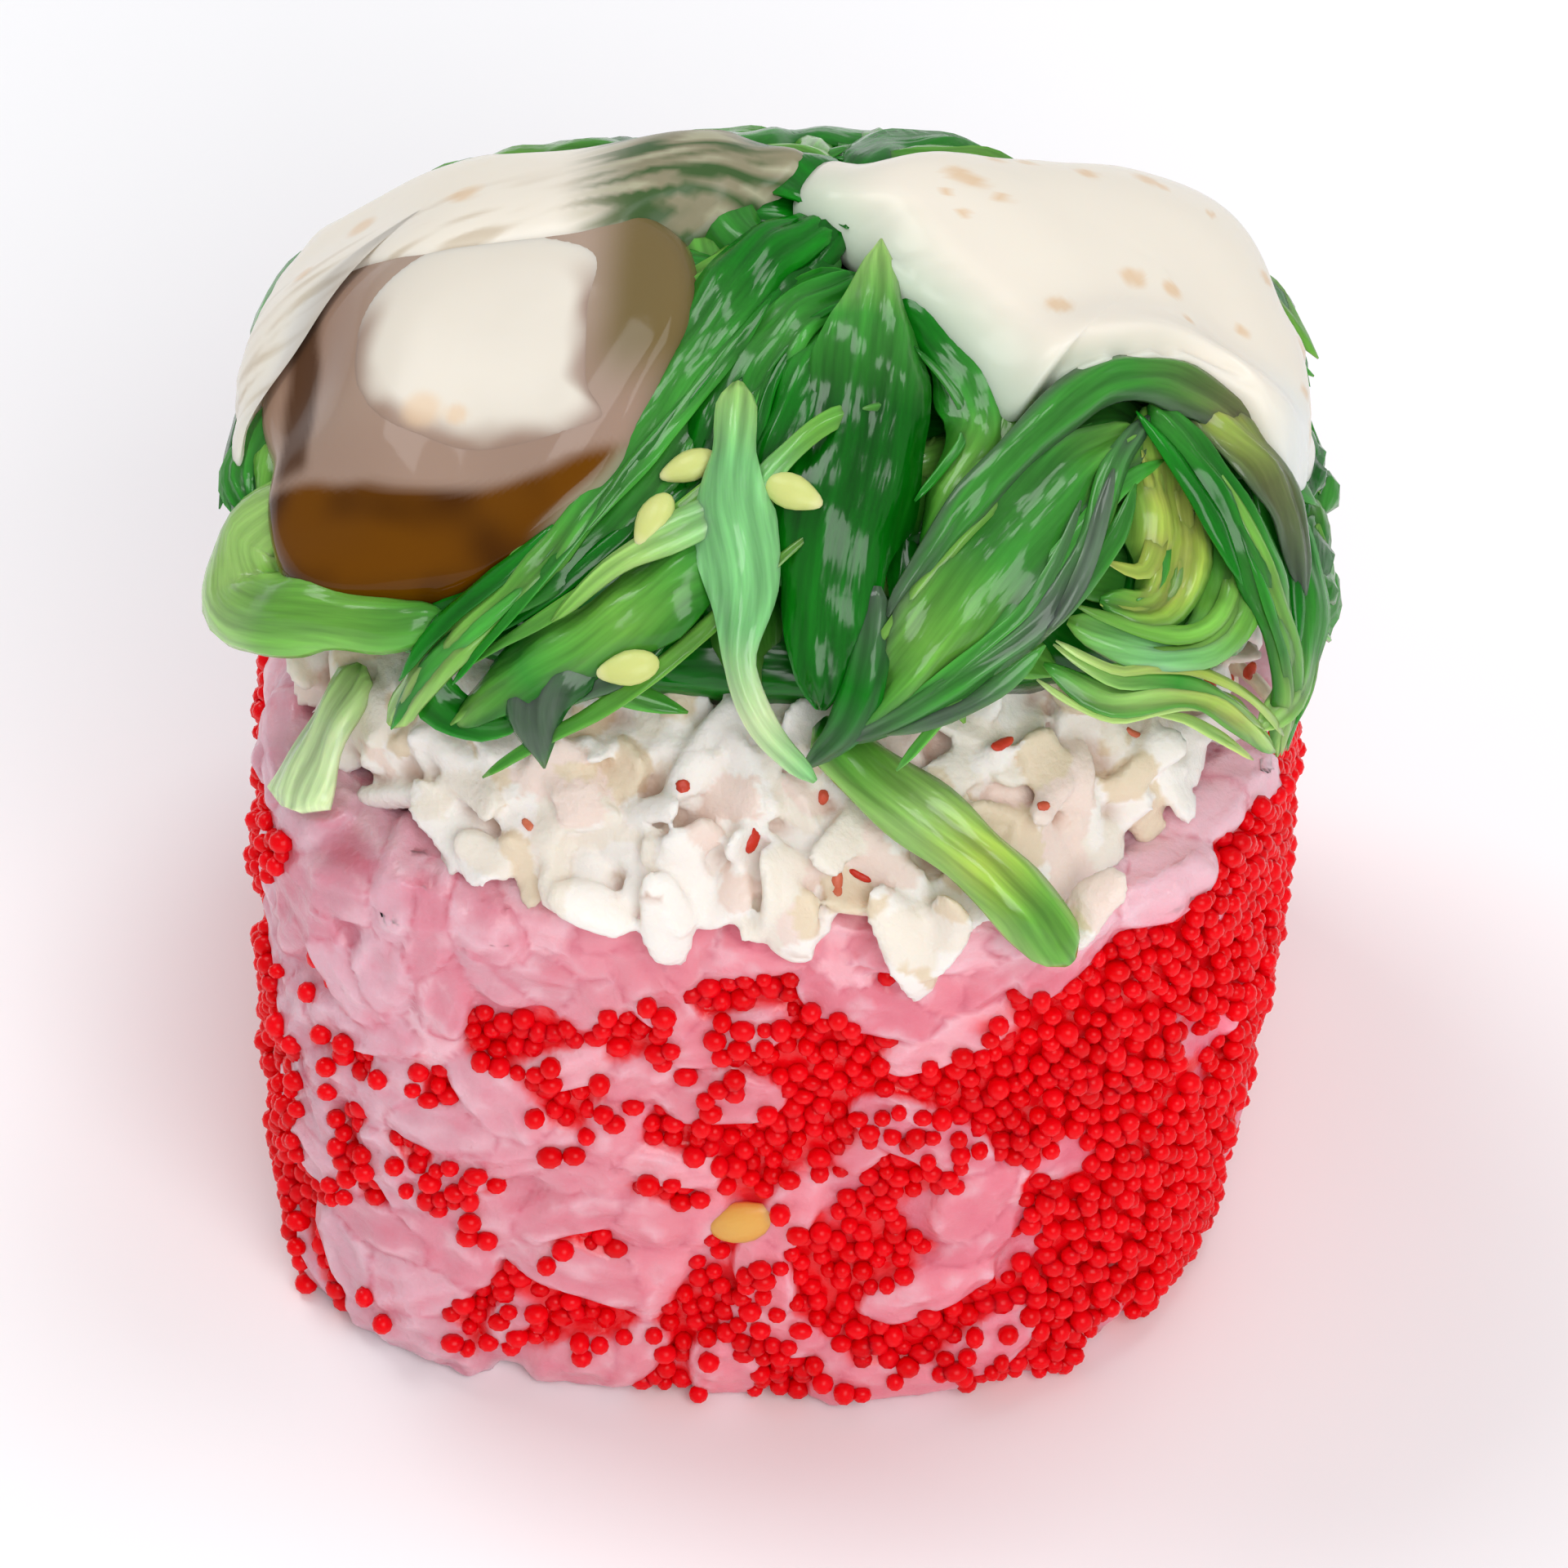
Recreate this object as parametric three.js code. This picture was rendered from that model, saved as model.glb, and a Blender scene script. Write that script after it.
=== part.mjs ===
// One piece of inside-out sushi roll, stood on its cut face: a block of pressed rice rolled in red
// roe, with a mound of shredded crab salad on it, a heap of seaweed salad over that, and two sauces.
// Millimetres, +Z up. The origin is the middle of the flat base, the front faces -Y, +X is right.
import * as THREE from "three";

// Driving dimensions.
const CLEARANCE = 0.3; // between pieces that lie on each other
const RICE = {
  halfWidth: 20,
  halfDepth: 19,
  height: 27,
  baseScale: 0.93, // the block narrows a little towards its base
  baseLeft: 0.6, // and its base lies a little to the left
  baseForward: 1.3, // and to the front, so that the front wall stays upright
  leanHeight: 16, // above this it is upright and at its full size
  baseRound: 1.6,
  rimRound: 1.8,
  grain: 0.35, // depth of the relief that the grains leave
  grainPitch: 3.1,
};
const CORE = new THREE.Vector3(0, 0, 10); // all toppings are measured outwards from this point
const CRAB = { halfWidth: 18.8, halfDepth: 18.2, base: RICE.height, rise: 10, squareness: 2.6 };
const SEAWEED = { halfWidth: 22, halfDepth: 18.4, base: 29, rise: 15.2, squareness: 2.7 };
const CRAB_BUMP = { depth: 0.55, size: 3.4 };
const CRAB_EDGE = { lower: 0.4, upper: 0.6 }; // least thickness of the crab salad at its edge
const STRAND = { ridge: 0.35, pitch: 2.6, bump: 0.5, bumpSize: 6 }; // relief of the seaweed heap
const HEAP_EDGE = 1.2; // thickness of the seaweed heap at its edge
const HEAP_LIFT = 2 * CLEARANCE; // the bumps under the heap take up half of it
const SAUCE_LIFT = 2 * CLEARANCE;
const SAUCE_EDGE = 0.35; // thickness of a sauce at its rounded edge
const BROWN_THICKNESS = 1.1;
const CREAM_THICKNESS = 1.3;

const COLOURS = {
  rice: 0xe9a3b2,
  crab: 0xeee3d3,
  seaweed: 0x2f8a26,
  paleSeaweed: 0xa9cf7c,
  creamSauce: 0xeee4d4,
  brownSauce: 0x74460f,
};

const food = (color, roughness) => new THREE.MeshStandardMaterial({ color, roughness, metalness: 0 });
const degrees = THREE.MathUtils.degToRad;
const fade = THREE.MathUtils.smoothstep;

// A closed surface: a start point, rings that turn anticlockwise about the way they go, an end point.
function loft(start, rings, end) {
  const count = rings[0].length;
  const points = [start, ...rings.flat(), end];
  const last = points.length - 1;
  const index = [];
  for (let j = 0; j < count; j++) {
    const next = (j + 1) % count;
    index.push(0, 1 + next, 1 + j);
    for (let i = 0; i < rings.length - 1; i++) {
      const near = 1 + i * count;
      const far = near + count;
      index.push(near + j, near + next, far + next, near + j, far + next, far + j);
    }
    index.push(last, last - count + j, last - count + next);
  }
  const geometry = new THREE.BufferGeometry();
  geometry.setAttribute("position", new THREE.Float32BufferAttribute(points.flatMap((p) => p.toArray()), 3));
  geometry.setIndex(index);
  geometry.computeVertexNormals();
  return geometry;
}

// A smooth uneven field between -1 and 1 with bumps of the given size.
function bumps(p, size) {
  const k = Math.PI / size;
  const first = Math.sin(k * p.x + 1.3) * Math.sin(k * p.y + 0.4) * Math.sin(k * p.z + 2.1);
  const second = Math.sin(k * (0.8 * p.x + 0.6 * p.y) + 0.7) * Math.sin(k * (0.8 * p.y - 0.6 * p.z) + 1.9);
  return 0.6 * first + 0.4 * second;
}

// Rice block ------------------------------------------------------------------------------------

// Plan radius of the block: a rounded square whose front right corner is the roundest.
function riceRadius(angle) {
  const squareness = 3.9 - 0.9 * Math.cos(angle + Math.PI / 4);
  const across = Math.abs(Math.cos(angle) / RICE.halfWidth) ** squareness;
  const along = Math.abs(Math.sin(angle) / RICE.halfDepth) ** squareness;
  return (across + along) ** (-1 / squareness);
}

// How far a ring at height z draws in to round an edge of the given radius at the base or the rim.
function drawIn(z) {
  const corner = (distance, radius) => {
    const left = Math.max(radius - distance, 0);
    return radius - Math.sqrt(radius ** 2 - left ** 2);
  };
  return corner(z, RICE.baseRound) + corner(RICE.height - z, RICE.rimRound);
}

function riceRing(z, share, segments) {
  const low = 1 - fade(z, 0, RICE.leanHeight);
  const scale = 1 - (1 - RICE.baseScale) * low;
  const middle = new THREE.Vector3(-RICE.baseLeft * low, -RICE.baseForward * low, z);
  return Array.from({ length: segments }, (_, j) => {
    const angle = (2 * Math.PI * j) / segments;
    const flat = new THREE.Vector3(Math.cos(angle), Math.sin(angle), 0);
    const wall = flat.clone().multiplyScalar(riceRadius(angle)).setZ(z);
    const relief = share === 1 ? RICE.grain * bumps(wall, RICE.grainPitch) : 0;
    return flat.multiplyScalar(share * (riceRadius(angle) * scale - drawIn(z) + relief)).add(middle);
  });
}

function riceBlock() {
  const segments = 60;
  const { height, baseRound, rimRound } = RICE;
  const heights = [0, 0.3 * baseRound, baseRound];
  const wallRows = 9;
  const wallRow = (height - rimRound - baseRound) / wallRows;
  for (let i = 1; i < wallRows; i++) heights.push(baseRound + wallRow * i);
  heights.push(height - rimRound, height - 0.3 * rimRound, height);
  const rings = heights.map((z) => riceRing(z, 1, segments));
  const inward = 0.55; // a ring that splits the flat faces
  const flatBase = riceRing(0, inward, segments);
  const flatTop = riceRing(height, inward, segments);
  const base = new THREE.Vector3(-RICE.baseLeft, -RICE.baseForward, 0);
  return loft(base, [flatBase, ...rings, flatTop], new THREE.Vector3(0, 0, height));
}

// Domed layers, measured outwards from CORE -------------------------------------------------------

// Distance from CORE to a superellipsoid dome in the given direction.
function reach(direction, dome) {
  const { halfWidth, halfDepth, base, rise, squareness } = dome;
  const inside = (distance) => {
    const p = direction.clone().multiplyScalar(distance).add(CORE);
    const plan = Math.abs(p.x / halfWidth) ** squareness + Math.abs(p.y / halfDepth) ** squareness;
    return plan ** (2 / squareness) + ((p.z - base) / rise) ** 2 < 1;
  };
  let near = 0;
  let far = 80;
  for (let step = 0; step < 26; step++) {
    const middle = (near + far) / 2;
    // The core lies under the domes, so the way out of one is the last time a ray leaves it.
    if (inside(middle) || middle * direction.z < base - CORE.z) near = middle;
    else far = middle;
  }
  return near;
}

// A patch of the dome about an axis: extents gives its reach in degrees at even turns round the
// axis, the first one to the right of it, then anticlockwise.
class Patch {
  constructor(azimuth, polar, extents) {
    const [a, b] = [degrees(azimuth), degrees(polar)];
    this.axis = new THREE.Vector3(Math.sin(b) * Math.cos(a), Math.sin(b) * Math.sin(a), Math.cos(b));
    this.right = new THREE.Vector3(0, 1, 0).cross(this.axis).normalize();
    this.back = this.axis.clone().cross(this.right);
    this.extents = extents;
  }
  // Reach of the patch at a turn round its axis, smooth between the given ones.
  extent(turn) {
    const count = this.extents.length;
    const place = ((turn / (2 * Math.PI)) * count + count) % count;
    const k = Math.floor(place) % count;
    const t = place - Math.floor(place);
    const [a, b, c, d] = [-1, 0, 1, 2].map((step) => this.extents[(k + step + count) % count]);
    const slope = (c - a) / 2;
    const nextSlope = (d - b) / 2;
    const cubic = b + slope * t + (3 * (c - b) - 2 * slope - nextSlope) * t ** 2;
    return degrees(cubic + (2 * (b - c) + slope + nextSlope) * t ** 3);
  }
  direction(turn, share) {
    const bend = share * this.extent(turn);
    const across = this.right.clone().multiplyScalar(Math.cos(turn));
    across.addScaledVector(this.back, Math.sin(turn));
    return this.axis.clone().multiplyScalar(Math.cos(bend)).addScaledVector(across, Math.sin(bend));
  }
  // How far out in the patch a direction lies: 0 on the axis, 1 on the edge.
  share(direction) {
    const turn = Math.atan2(direction.dot(this.back), direction.dot(this.right));
    return direction.angleTo(this.axis) / this.extent(turn);
  }
}

// The closed solid between two surfaces over a patch. Each surface is a function of a direction and
// of the share of the way out to the patch's edge, and gives a distance from CORE.
function layer(patch, inner, outer, segments, innerRings, outerRings) {
  const point = (surface, turn, share) => {
    const direction = patch.direction(turn, share);
    return direction.clone().multiplyScalar(surface(direction, share)).add(CORE);
  };
  const ring = (surface, share) =>
    Array.from({ length: segments }, (_, j) => point(surface, (2 * Math.PI * j) / segments, share));
  const rings = [];
  for (let i = 1; i <= innerRings; i++) rings.push(ring(inner, i / innerRings));
  for (let i = 0; i < outerRings; i++) {
    const t = i / outerRings; // the rings are closer at the rounded edge
    rings.push(ring(outer, 1 - 0.5 * t ** 2 - 0.5 * t));
  }
  return loft(point(inner, 0, 0), rings, point(outer, 0, 0));
}

const rounded = (share) => Math.sqrt(Math.max(1 - share ** 4, 0));

// Distance to the level top of the rice, with the clearance over it.
const overRice = (direction) => (RICE.height + CLEARANCE - CORE.z) / direction.z;

const crabPatch = new Patch(0, 0, [45, 48, 46, 48, 45, 48.5, 47, 48.5]);

function crabSurface(direction) {
  const distance = Math.max(reach(direction, CRAB), overRice(direction) + CRAB_EDGE.upper);
  const bump = CRAB_BUMP.depth * bumps(direction.clone().multiplyScalar(distance), CRAB_BUMP.size);
  return Math.max(distance + bump, overRice(direction) + CRAB_EDGE.lower);
}

const crabMound = () => layer(crabPatch, overRice, crabSurface, 54, 2, 9);

// The heap's edge hangs lowest at the sides and stays up at the front, where the crab salad shows.
const heapPatch = new Patch(0, 0, [44, 44.5, 40, 44, 43, 38, 29, 38]);

const overCrab = (direction) => crabSurface(direction) + HEAP_LIFT;

// Strands of seaweed run across the heap and leave ridges along it.
function heapSurface(direction) {
  const distance = reach(direction, SEAWEED);
  const p = direction.clone().multiplyScalar(distance);
  const wander = 2.5 * Math.sin(0.21 * p.x + 0.9) + 2 * Math.sin(0.27 * p.z);
  const ridges = Math.sin((Math.PI / STRAND.pitch) * (p.y + 0.5 * p.x + wander));
  return distance + STRAND.ridge * ridges + STRAND.bump * bumps(p, STRAND.bumpSize);
}

// Outer surface of the heap, which rounds off towards its edge.
function heapTop(direction, share) {
  const edge = overCrab(direction) + HEAP_EDGE;
  return edge + Math.max(heapSurface(direction) - edge, 0) * rounded(share);
}

const seaweedHeap = () => layer(heapPatch, overCrab, heapTop, 62, 9, 12);

// The surface that the sauces lie on.
const onHeap = (direction) => heapTop(direction, Math.min(heapPatch.share(direction), 1)) + SAUCE_LIFT;

// Sauces ----------------------------------------------------------------------------------------

const brownPatch = new Patch(-153, 27, [16, 12, 11, 11, 10.5, 11, 12, 13]);
const creamLeftPatch = new Patch(165, 21, [17, 18, 20, 18, 17, 13, 15, 15.5]);
const creamRightPatch = new Patch(22, 20, [21, 22, 20, 17, 15, 13, 12, 19]);
const sauceThickness = (thickness, share) => SAUCE_EDGE + (thickness - SAUCE_EDGE) * rounded(share);

// Room taken by the brown sauce under the cream, fading out past its edge.
function overBrown(direction) {
  const share = brownPatch.share(direction);
  const cover = sauceThickness(BROWN_THICKNESS, Math.min(share, 1)) + SAUCE_LIFT;
  return onHeap(direction) + cover * (1 - fade(share, 1.1, 1.5));
}

const sauce = (patch, floor, thickness, segments) =>
  layer(patch, floor, (d, share) => floor(d) + sauceThickness(thickness, share), segments, 5, 6);

const brownSauce = () => sauce(brownPatch, onHeap, BROWN_THICKNESS, 36);
const creamLeft = () => sauce(creamLeftPatch, overBrown, CREAM_THICKNESS, 40);
const creamRight = () => sauce(creamRightPatch, onHeap, CREAM_THICKNESS, 44);

// Loose strips ------------------------------------------------------------------------------------

// A flat strip along a curve through the given points, its flat side facing away from CORE.
function strip(points, width, thickness, steps) {
  const sides = 8;
  const curve = new THREE.CatmullRomCurve3(points.map((p) => new THREE.Vector3(...p)));
  const rings = [];
  for (let i = 0; i <= steps; i++) {
    const centre = curve.getPointAt(i / steps);
    const along = curve.getTangentAt(i / steps);
    const out = centre.clone().sub(CORE).projectOnPlane(along).normalize();
    const side = out.clone().cross(along).normalize();
    const taper = 0.75 + 0.25 * Math.sin((Math.PI * (i + 1)) / (steps + 2));
    rings.push(
      Array.from({ length: sides }, (_, j) => {
        const turn = (2 * Math.PI * (j + 0.5)) / sides;
        return centre
          .clone()
          .addScaledVector(side, 0.5 * width * taper * Math.cos(turn))
          .addScaledVector(out, 0.5 * thickness * Math.sin(turn));
      }),
    );
  }
  return loft(curve.getPointAt(0), rings, curve.getPointAt(1));
}

const frontRoute = [
  [0.8, -15, 33.8],
  [4.1, -16.6, 32.8],
  [7.6, -18, 31.2],
  [10.2, -19.1, 29.4],
  [12.2, -19.7, 27],
];
const leftRoute = [[-16.1, -10.9, 30.8], [-17, -12.7, 29.4], [-17.9, -14.8, 27.9]];
const frontStrip = () => strip(frontRoute, 2.6, 1, 14);
const leftStrip = () => strip(leftRoute, 3, 0.8, 9);

// The piece ---------------------------------------------------------------------------------------

function named(name, geometry, material) {
  const mesh = new THREE.Mesh(geometry, material);
  mesh.name = name;
  return mesh;
}

const piece = new THREE.Group();
piece.add(
  named("rice_roll", riceBlock(), food(COLOURS.rice, 0.35)),
  named("crab_salad", crabMound(), food(COLOURS.crab, 0.45)),
  named("seaweed_salad", seaweedHeap(), food(COLOURS.seaweed, 0.2)),
  named("seaweed_strip_front", frontStrip(), food(COLOURS.paleSeaweed, 0.25)),
  named("seaweed_strip_left", leftStrip(), food(COLOURS.paleSeaweed, 0.25)),
  named("brown_sauce", brownSauce(), food(COLOURS.brownSauce, 0.1)),
  named("cream_sauce_left", creamLeft(), food(COLOURS.creamSauce, 0.2)),
  named("cream_sauce_right", creamRight(), food(COLOURS.creamSauce, 0.2)),
);

export default piece;
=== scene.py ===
# The looks of one piece of inside-out sushi roll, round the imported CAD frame: pressed rice rolled in
# red roe, shredded crab salad, seaweed salad, a cream sauce, a brown sauce and sesame seeds.
# Shapes are worked out in millimetres and turned into metres when a piece is made.
import math

import bpy
import numpy as np
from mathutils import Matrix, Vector, noise
from mathutils.bvhtree import BVHTree
from mathutils.kdtree import KDTree


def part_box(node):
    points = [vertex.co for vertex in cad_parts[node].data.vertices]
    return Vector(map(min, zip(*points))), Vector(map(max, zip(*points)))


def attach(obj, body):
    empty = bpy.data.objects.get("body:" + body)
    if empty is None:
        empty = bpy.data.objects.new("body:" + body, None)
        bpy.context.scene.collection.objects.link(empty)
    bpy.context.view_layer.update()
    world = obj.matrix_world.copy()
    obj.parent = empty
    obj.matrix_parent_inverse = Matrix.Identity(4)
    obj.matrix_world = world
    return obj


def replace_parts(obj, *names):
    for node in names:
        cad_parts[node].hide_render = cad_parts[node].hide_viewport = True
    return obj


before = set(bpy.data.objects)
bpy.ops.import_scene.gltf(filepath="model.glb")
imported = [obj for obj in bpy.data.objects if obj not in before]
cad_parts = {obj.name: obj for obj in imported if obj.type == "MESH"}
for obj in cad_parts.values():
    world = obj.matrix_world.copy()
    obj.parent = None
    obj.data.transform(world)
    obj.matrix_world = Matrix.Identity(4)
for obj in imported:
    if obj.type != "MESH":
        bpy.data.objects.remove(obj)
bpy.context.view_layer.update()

MM = 0.001
CORE = np.array([0.0, 0.0, 10.0])  # the toppings are measured outwards from this point
HALF_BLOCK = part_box("rice_roll")[1][0] / MM  # half the width of the rice block


# Numbers and vectors ----------------


def unit(v):
    return v / np.maximum(np.linalg.norm(v, axis=-1, keepdims=True), 1e-9)


def fade(x, low, high):
    """0 below low, 1 above high, smooth between."""
    t = np.clip((np.asarray(x, float) - low) / (high - low), 0, 1)
    return t * t * (3 - 2 * t)


def mix(a, b, share):
    share = np.asarray(share, float)[..., None]
    return np.asarray(a) * (1 - share) + np.asarray(b) * share


def colour(red, green, blue):
    """A colour from the 0 to 255 numbers of a screen, as the linear numbers of a shader."""
    c = np.array([red, green, blue]) / 255
    return np.where(c <= 0.04045, c / 12.92, ((c + 0.055) / 1.055) ** 2.4)


def field(points, size, shift=0.0):
    """A smooth uneven field from about -1 to 1, with bumps of the given size."""
    return np.array([noise.noise(Vector(p)) for p in (points / size + shift).tolist()]) * 1.6


# Meshes ----------------


def join(solids):
    """One list of points and one of faces from several (points, faces)."""
    points, faces, start = [], [], 0
    for p, f in solids:
        points.append(p)
        faces.extend([k + start for k in face] for face in f)
        start += len(p)
    return np.concatenate(points), faces


def plain_mesh(name, points, faces):
    mesh = bpy.data.meshes.new(name)
    mesh.from_pydata(points.tolist(), [], faces)
    return mesh


def fuse(points, faces, voxel, smooth, keep):
    """The outer skin of overlapping solids, thinned out where it is flat to the given share of its
    triangles: points and faces."""
    thing = bpy.data.objects.new("fuse", plain_mesh("fuse", points, faces))
    bpy.context.scene.collection.objects.link(thing)
    remesh = thing.modifiers.new("skin", "REMESH")
    remesh.mode = "VOXEL"
    remesh.voxel_size = voxel
    if smooth:
        relax = thing.modifiers.new("relax", "SMOOTH")
        relax.factor = 0.5
        relax.iterations = smooth
    thin = thing.modifiers.new("thin", "DECIMATE")
    thin.ratio = keep
    evaluated = thing.evaluated_get(bpy.context.evaluated_depsgraph_get())
    made = evaluated.to_mesh()
    skin = np.empty(len(made.vertices) * 3)
    made.vertices.foreach_get("co", skin)
    skin_faces = [list(p.vertices) for p in made.polygons]
    evaluated.to_mesh_clear()
    bpy.data.objects.remove(thing)
    return skin.reshape(-1, 3), skin_faces


def piece(name, points, faces, material, slot, tint=None, strand=None):
    """A smooth mesh piece in the frame, with its colours and its place along a strand."""
    mesh = plain_mesh(name, points * MM, faces)
    mesh.shade_smooth()
    if tint is not None:
        rgba = np.ones((len(points), 4), np.float32)
        rgba[:, :3] = tint
        mesh.attributes.new("tint", "FLOAT_COLOR", "POINT").data.foreach_set("color", rgba.ravel())
    if strand is not None:
        place = mesh.attributes.new("strand", "FLOAT_VECTOR", "POINT")
        place.data.foreach_set("vector", np.asarray(strand, np.float32).ravel())
    mesh.materials.append(material)
    made = bpy.data.objects.new(name, mesh)
    bpy.context.scene.collection.objects.link(made)
    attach(made, "root")
    return made


def ball(across, down):
    """A unit sphere with its poles on X."""
    points = [[1.0, 0.0, 0.0]]
    for i in range(1, down):
        a = math.pi * i / down
        for j in range(across):
            b = 2 * math.pi * j / across
            points.append([math.cos(a), math.sin(a) * math.cos(b), math.sin(a) * math.sin(b)])
    points.append([-1.0, 0.0, 0.0])
    faces, last = [], len(points) - 1
    for j in range(across):
        k = (j + 1) % across
        faces.append([0, 1 + j, 1 + k])
        for i in range(down - 2):
            near, far = 1 + i * across, 1 + (i + 1) * across
            faces.append([near + j, far + j, far + k])
            faces.append([near + j, far + k, near + k])
        faces.append([last, last - across + k, last - across + j])
    return np.array(points), faces


def seat(points, normals, turns):
    """Three axes at each point: one in the surface at the given turn, one beside it, one outwards."""
    level = unit(np.cross(normals, [0.31, 0.17, 0.93]))
    other = np.cross(normals, level)
    along = level * np.cos(turns)[:, None] + other * np.sin(turns)[:, None]
    return along, np.cross(normals, along), normals


def surface_samples(points, faces, count, rng):
    """Random places on a mesh, even over its area: points and normals."""
    triangles = []
    for f in faces:
        triangles.extend([f[0], f[k], f[k + 1]] for k in range(1, len(f) - 1))
    a, b, c = (points[np.array(triangles)[:, k]] for k in range(3))
    normal = np.cross(b - a, c - a)
    area = np.linalg.norm(normal, axis=1)
    pick = rng.choice(len(area), count, p=area / area.sum())
    s, t = rng.random(count), rng.random(count)
    over = s + t > 1
    s[over], t[over] = 1 - s[over], 1 - t[over]
    place = a[pick] + (b - a)[pick] * s[:, None] + (c - a)[pick] * t[:, None]
    return place, unit(normal[pick])


def spaced(points, gaps):
    """Which points to keep, in order, so that none is nearer to a kept one than its gap."""
    cell = float(np.max(gaps))
    cells, kept = {}, []
    for i, p in enumerate(points):
        key = tuple((p // cell).astype(int))
        near = [
            j
            for x in (-1, 0, 1)
            for y in (-1, 0, 1)
            for z in (-1, 0, 1)
            for j in cells.get((key[0] + x, key[1] + y, key[2] + z), ())
        ]
        if all(((points[j] - p) ** 2).sum() > gaps[i] ** 2 for j in near):
            cells.setdefault(key, []).append(i)
            kept.append(i)
    return np.array(kept)


def cad_mesh(node):
    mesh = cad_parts[node].data
    points = np.empty(len(mesh.vertices) * 3)
    mesh.vertices.foreach_get("co", points)
    return points.reshape(-1, 3) / MM, [list(p.vertices) for p in mesh.polygons]


# Materials ----------------


def set_inputs(node, values):
    for name, value in values.items():
        node.inputs[name].default_value = value


def food(
    name, roughness, scatter, radius, bump_size, bump_depth,
    shine=0.3, coat=0.0, coat_roughness=0.1,
):
    """A moist food surface whose colour is the mesh's own tint. The bumps are in millimetres."""
    material = bpy.data.materials.new(name)
    material.use_nodes = True
    nodes, links = material.node_tree.nodes, material.node_tree.links
    shader = nodes["Principled BSDF"]
    set_inputs(shader, {
        "Roughness": roughness,
        "Specular IOR Level": shine,
        "Subsurface Weight": scatter,
        "Subsurface Radius": radius,
        "Subsurface Scale": MM,
        "Coat Weight": coat,
        "Coat Roughness": coat_roughness,
    })
    tint = nodes.new("ShaderNodeAttribute")
    tint.attribute_name = "tint"
    links.new(tint.outputs["Color"], shader.inputs["Base Color"])
    texture = nodes.new("ShaderNodeTexNoise")
    set_inputs(texture, {"Scale": 1 / (bump_size * MM), "Detail": 3})
    place = nodes.new("ShaderNodeTexCoord")
    links.new(place.outputs["Object"], texture.inputs["Vector"])
    bump = nodes.new("ShaderNodeBump")
    set_inputs(bump, {"Strength": 1.0, "Distance": bump_depth * MM})
    links.new(texture.outputs["Fac"], bump.inputs["Height"])
    links.new(bump.outputs["Normal"], shader.inputs["Normal"])
    return material


def seaweed_material():
    """Glossy, half-clear green with fine streaks and ripples along each strip."""
    material = food("seaweed", 0.17, 0.4, (0.4, 1.0, 0.2), 1.0, 0.0, shine=0.34)
    nodes, links = material.node_tree.nodes, material.node_tree.links
    shader = nodes["Principled BSDF"]
    place = nodes.new("ShaderNodeAttribute")
    place.attribute_name = "strand"

    def stretched(scale, detail):
        scaled = nodes.new("ShaderNodeVectorMath")
        scaled.operation = "MULTIPLY"
        scaled.inputs[1].default_value = scale
        links.new(place.outputs["Vector"], scaled.inputs[0])
        texture = nodes.new("ShaderNodeTexNoise")
        set_inputs(texture, {"Scale": 1.0, "Detail": detail})
        links.new(scaled.outputs["Vector"], texture.inputs["Vector"])
        return texture.outputs["Fac"]

    streaks = nodes.new("ShaderNodeMapRange")
    set_inputs(streaks, {"From Min": 0.3, "From Max": 0.7, "To Min": 0.76, "To Max": 1.28})
    links.new(stretched((0.22, 3.2, 1.0), 3), streaks.inputs["Value"])
    shaded = nodes.new("ShaderNodeVectorMath")
    shaded.operation = "SCALE"
    links.new(shader.inputs["Base Color"].links[0].from_socket, shaded.inputs[0])
    links.new(streaks.outputs["Result"], shaded.inputs["Scale"])
    links.new(shaded.outputs["Vector"], shader.inputs["Base Color"])
    bump = shader.inputs["Normal"].links[0].from_node
    bump.inputs["Distance"].default_value = 0.1 * MM
    links.new(stretched((0.35, 1.7, 1.0), 2), bump.inputs["Height"])
    return material


# Rice ----------------

GRAIN = (6.4, 3.1, 3.0)  # length, width and depth of a cooked grain
GRAIN_GAP = 2.45  # least distance between the middles of two grains
GRAIN_SINK = 1.15  # how deep the middle of a grain lies
JOINT_DEPTH = 0.62  # how deep the joints between the grains are at most
RICE_VOXEL = 0.27
RICE_KEEP = 0.68  # share of the skin's triangles that stay
GRAIN_TRIES = 16000

RICE_LEFT = colour(218, 166, 180)
RICE_MIDDLE = colour(234, 140, 154)
RICE_RIGHT = colour(246, 128, 150)
RICE_MILKY = colour(240, 200, 210)
RICE_PALE = colour(240, 196, 204)
RICE_CLEAR = colour(222, 104, 128)
# Colour of the seams between grains, also painted into the hollows as shade
RICE_SEAM_AND_SHADE = colour(206, 84, 110)
UNDER_ROE = colour(244, 2, 18)


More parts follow.
